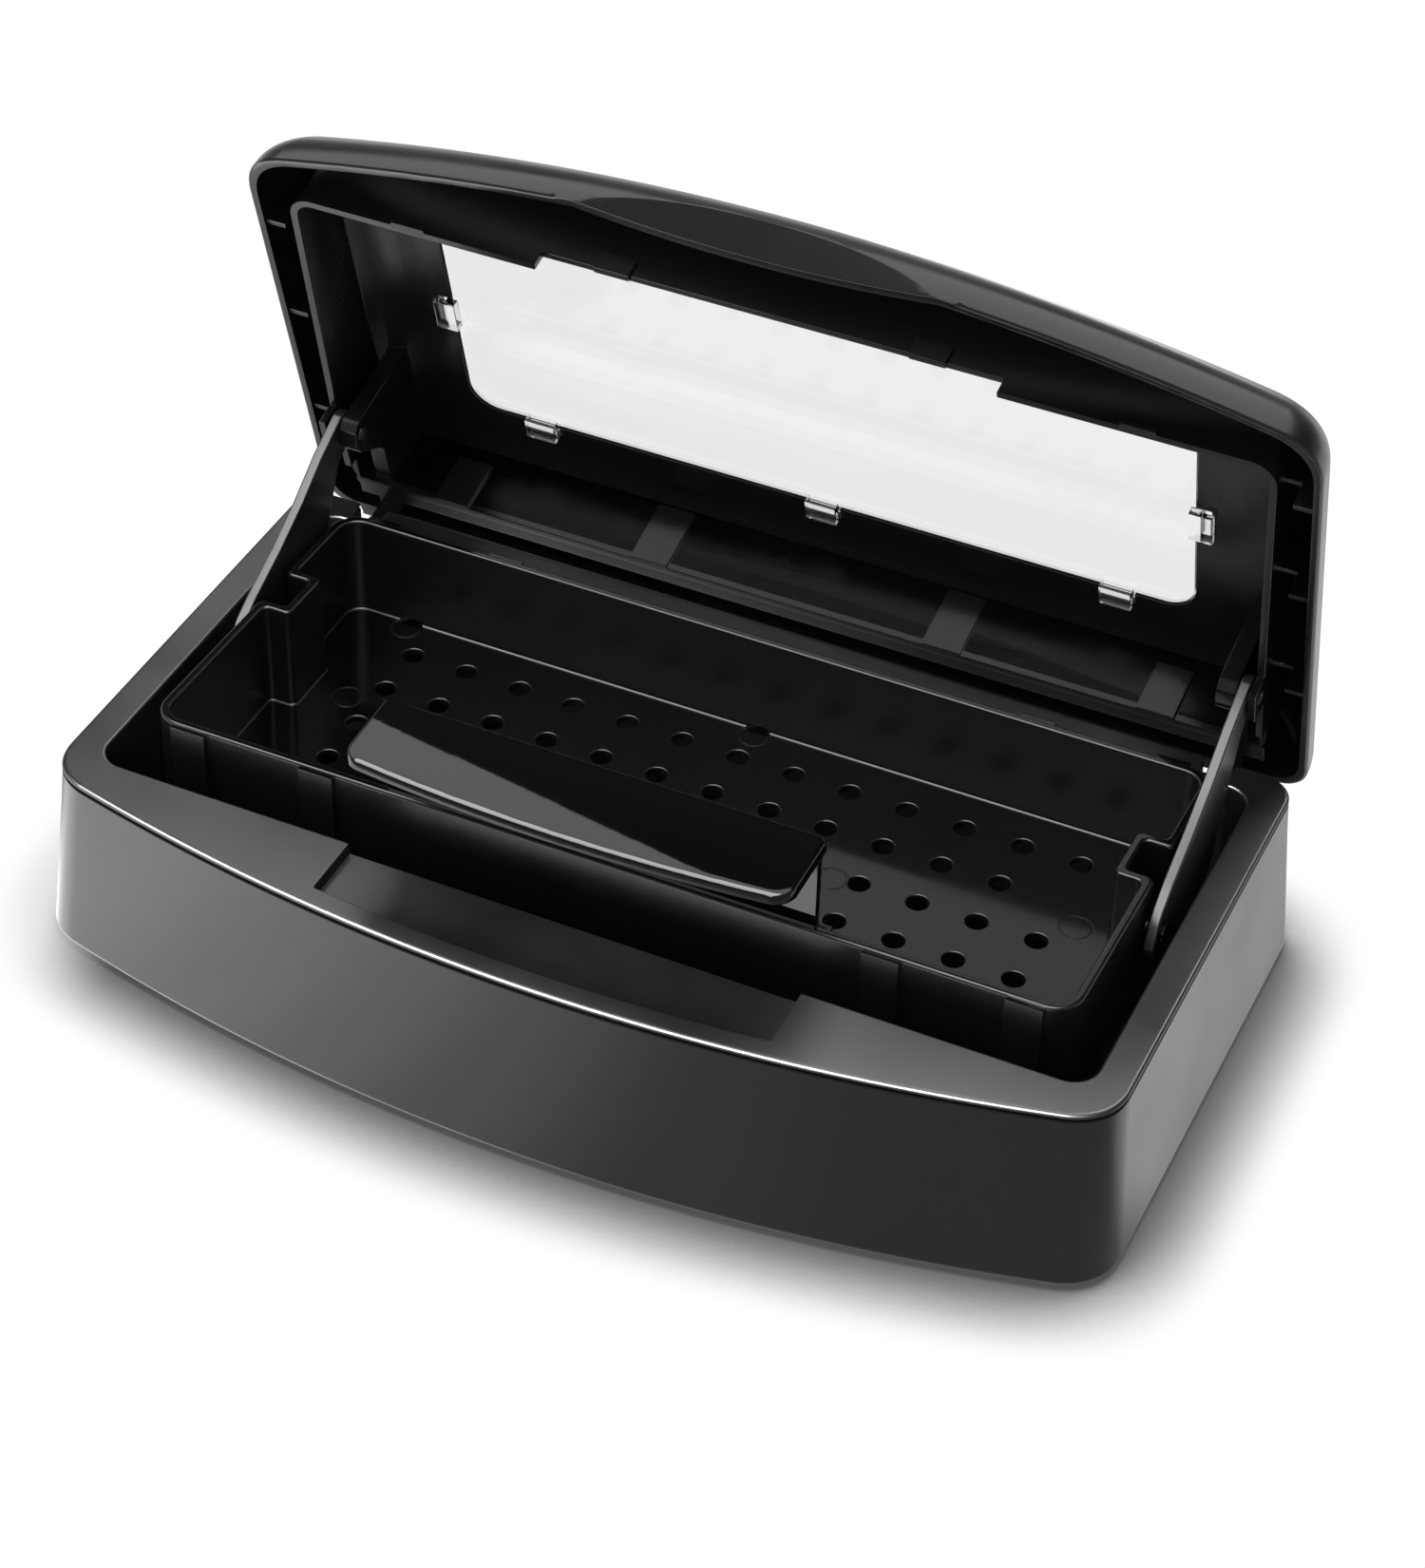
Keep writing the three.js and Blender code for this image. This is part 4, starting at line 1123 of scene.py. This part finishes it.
def floor_material():
    """White floor that looks different to camera, glossy and transmission rays."""
    g = Graph(bpy.data.materials.new("floor"))
    diffuse = g.add("BsdfDiffuse", {"Color": (0.86, 0.86, 0.86, 1)}).outputs["BSDF"]
    near = g.add("AmbientOcclusion", {"Distance": 0.026}, samples=24).outputs["AO"]
    contact = g.add("Emission")
    glow = g.add("Emission", {"Strength": 4.3})
    ray = g.add("LightPath").outputs
    position = g.add("NewGeometry").outputs["Position"]
    at = g.add("SeparateXYZ", {"Vector": position}).outputs

    # glossy rays: stops are (metres along the axis, grey)
    # what the front wall mirrors, left to right, and what the right wall mirrors
    in_front = g.ramp(
        at["X"], -0.26, 0.24,
        [(-0.26, 0.66), (-0.20, 0.66), (-0.145, 0.68), (-0.09, 0.54), (-0.055, 0.43),
         (-0.025, 0.30), (0.03, 0.125), (0.09, 0.09), (0.24, 0.08)],
    )
    beside = g.ramp(at["Y"], -0.09, -0.01, [(-0.055, 0.0), (-0.025, 1.0)])
    outside = g.ramp(at["X"], 0.10, 0.16, [(0.11, 0.0), (0.14, 1.0)])
    right_side = g.math("MULTIPLY", beside, outside)
    far = g.ramp(at["Y"], -0.9, -0.2, [(-0.48, 0.92), (-0.26, 0.0)])
    # the lid's rim mirrors the floor left of the base
    left_side = g.math(
        "MULTIPLY",
        g.ramp(at["X"], -0.2, 0.0, [(-0.125, 1.0), (-0.09, 0.0)]),
        g.ramp(at["Y"], -0.1, 0.1, [(-0.06, 0.0), (-0.03, 1.0)]),
    )
    near_look = g.mix(left_side, g.mix(right_side, in_front, 0.24), 0.17)
    g.feed(glow, "Color", g.mix(far, near_look, 0.06))
    look = g.choose(ray["Is Glossy Ray"], diffuse, glow.outputs["Emission"])

    # camera rays: white with a contact shadow, weaker past the ends of the box
    shade = g.ramp(
        near, 0.4, 1.0,
        [(0.4, 0.08), (0.5, 0.10), (0.657, 0.23), (0.804, 0.54), (0.915, 0.90),
         (0.965, 1.02)],
        "LINEAR",
    )
    ends = g.ramp(
        at["X"], -0.16, 0.20, [(-0.135, 0.62), (-0.105, 0.0), (0.14, 0.0), (0.175, 0.5)]
    )
    g.feed(contact, "Color", g.mix(ends, shade, 1.02))
    through = g.add("Emission", {"Strength": THROUGH}).outputs["Emission"]
    look = g.choose(ray["Is Transmission Ray"], look, through)
    look = g.choose(ray["Is Camera Ray"], look, contact.outputs["Emission"])
    g.add("OutputMaterial", {"Surface": look})
    return g.owner


def studio_world():
    """White to the camera, dim and graded to glossy rays."""
    world = bpy.data.worlds.new("studio")
    bpy.context.scene.world = world
    g = Graph(world)

    def background(**inputs):
        return g.add("Background", inputs).outputs["Background"]

    white = (1, 1, 1, 1)
    to_camera = background(Color=white, Strength=1.0)
    ambient = background(Color=white, Strength=0.8)
    direction = g.add("TexCoord").outputs["Generated"]
    toward = g.add("SeparateXYZ", {"Vector": direction}).outputs
    high = g.ramp(
        toward["Z"], 0.0, 1.0,
        [(0.0, 0.06), (0.12, 0.06), (0.25, 0.04), (0.42, 0.01), (1.0, 0.008)],
    )
    back = g.ramp(toward["Y"], -1.0, 1.0, [(-0.2, 0.0), (0.15, 1.0)])
    to_gloss = background(Color=g.mix(back, 0.05, high), Strength=4.5)
    through = background(Strength=THROUGH)
    ray = g.add("LightPath").outputs
    look = g.choose(ray["Is Glossy Ray"], ambient, to_gloss)
    look = g.choose(ray["Is Transmission Ray"], look, through)
    look = g.choose(ray["Is Camera Ray"], look, to_camera)
    g.add("OutputWorld", {"Surface": look})


floor_mesh.materials.append(floor_material())
studio_world()


# ------------------------------------------------------------------ lights
def linked_to(light, pieces):
    """The light reaches these pieces and nothing else."""
    reached = bpy.data.collections.new(light.name + "_reaches")
    for piece in pieces:
        reached.objects.link(bpy.data.objects[piece + "_fine"])
    light.light_linking.receiver_collection = reached


def area(name, loc, target, size, power, size_y=None, reaches=()):
    """Area light. With pieces to reach it is a card that only their gloss mirrors;
    without, it lights everything but isn't mirrored."""
    data = bpy.data.lights.new(name, "AREA")
    data.energy = power
    data.size = size
    if size_y:
        data.shape = "RECTANGLE"
        data.size_y = size_y
    o = bpy.data.objects.new(name, data)
    o.location = loc
    o.rotation_euler = (Vector(target) - Vector(loc)).to_track_quat("-Z", "Y").to_euler()
    o.visible_glossy = bool(reaches)
    o.visible_diffuse = not reaches
    o.visible_transmission = False
    o.visible_camera = False
    bpy.context.scene.collection.objects.link(o)
    if reaches:
        linked_to(o, reaches)
        data.cycles.max_bounces = 0


area("key", loc=(-0.25, 0.75, 1.1), target=(0, 0, 0), size=0.9, power=14.0)
area("fill_left", loc=(-1.0, -0.6, 0.7), target=(0, 0, 0.05), size=0.7, power=3.0)

# ------------------------------------------------------------------ camera
CAMERA_AT = (274.82, -601.75, 606.22)  # millimetres, drawing frame
# azimuth to the right of straight in front, elevation, roll
AZIMUTH, ELEVATION, ROLL = (math.radians(a) for a in (23.77, 40.39, 1.61))


def add_camera(position):
    level_reach = math.cos(ELEVATION)
    forward = -Vector(
        (
            math.sin(AZIMUTH) * level_reach,
            -math.cos(AZIMUTH) * level_reach,
            math.sin(ELEVATION),
        )
    )
    right = forward.cross(Vector((0, 0, 1))).normalized()
    up = right.cross(forward)
    rolled_right = right * math.cos(ROLL) + up * math.sin(ROLL)
    rolled_up = -right * math.sin(ROLL) + up * math.cos(ROLL)
    data = bpy.data.cameras.new("camera")
    camera = bpy.data.objects.new("camera", data)
    bpy.context.scene.collection.objects.link(camera)
    axes = (rolled_right, rolled_up, -forward, position)
    camera.matrix_world = Matrix([[v[i] for v in axes] for i in range(3)] + [[0, 0, 0, 1]])
    data.sensor_fit = "AUTO"
    data.sensor_width = 36
    data.lens = 90.3408
    data.clip_start, data.clip_end = 0.02, 50
    bpy.context.scene.camera = camera


camera_at = TO_ROW @ Vector(CAMERA_AT)
add_camera(camera_at)
bpy.context.scene.view_settings.view_transform = "Standard"

# ------------------------------------------------------------------ cards that the gloss mirrors
# a tall card from the camera up to the zenith, which only rounded edges mirror
area(
    "edge_card", loc=(-0.25, -0.62, 0.95), target=(0, 0, 0.05),
    size=1.5, size_y=1.5, power=60.0,
    reaches=["tray_handle", "lift_arm_left", "lift_arm_right"],
)
# higher, so that the tray's back wall does not throw it down on the floor
area(
    "tray_edge_card", loc=(-0.15, -0.40, 1.08), target=(0, 0, 0.05),
    size=1.5, size_y=0.8, power=36.0, reaches=["tray"],
)
area(
    "rim_card", loc=(-0.25, -0.85, 0.72), target=(0, 0, 0.05),
    size=1.5, size_y=0.9, power=240.0, reaches=["tank_deck"],
)
# the wide ones behind and above the lid
area(
    "back_card", loc=(0.02, 0.68, 1.0), target=(0.02, 0.02, 0.06),
    size=1.15, size_y=1.2, power=33.0,
    reaches=["tank_deck", "base_shell", "lift_arm_left", "lift_arm_right"],
)
area(
    "top_card", loc=(-0.30, 0.55, 1.05), target=(0, 0.02, 0.06),
    size=1.9, size_y=1.3, power=9.0, reaches=["lid_shell"],
)

# The handle's card: its near edge is mirrored in the plate as the line from EDGE_START
# to EDGE_END, and the plate is lit on the side of LIT_POINT (drawing frame).
EDGE_START, EDGE_END, LIT_POINT = (-50.5, -42.5, 74.3), (41.3, -57.1, 74.3), (-14.6, -56.4, 74.3)
CARD_AWAY, CARD_WIDTH, CARD_POWER = 0.09, 0.10, 0.18
MIRROR_TILT = -0.1112  # y of the mirror's normal for z = 1


def mirrored(point):
    """Where the camera looks to by way of a tilted mirror at that point, CARD_AWAY off."""
    p = TO_ROW @ Vector(point)
    normal = Vector((0, MIRROR_TILT, 1)).normalized()
    to_camera = (camera_at - p).normalized()
    return p + (2 * normal.dot(to_camera) * normal - to_camera) * CARD_AWAY


def handle_card():
    start, end, lit = (mirrored(p) for p in (EDGE_START, EDGE_END, LIT_POINT))
    along = (end - start).normalized()
    across = lit - start
    across = (across - across.dot(along) * along).normalized()
    back = along.cross(across)
    # an area light shines along its -z, which has to face the handle
    if back.dot(TO_ROW @ Vector(EDGE_START) - start) > 0:
        along, back = -along, -back
    centre = (start + end) / 2 + across * CARD_WIDTH / 2
    data = bpy.data.lights.new("handle_card", "AREA")
    data.shape, data.energy = "RECTANGLE", CARD_POWER
    data.size, data.size_y = (end - start).length * 3, CARD_WIDTH
    o = bpy.data.objects.new("handle_card", data)
    axes = (along, across, back, centre)
    o.matrix_world = Matrix([[v[i] for v in axes] for i in range(3)] + [[0, 0, 0, 1]])
    o.visible_camera = o.visible_diffuse = o.visible_transmission = False
    bpy.context.scene.collection.objects.link(o)
    linked_to(o, ["tray_handle"])


handle_card()
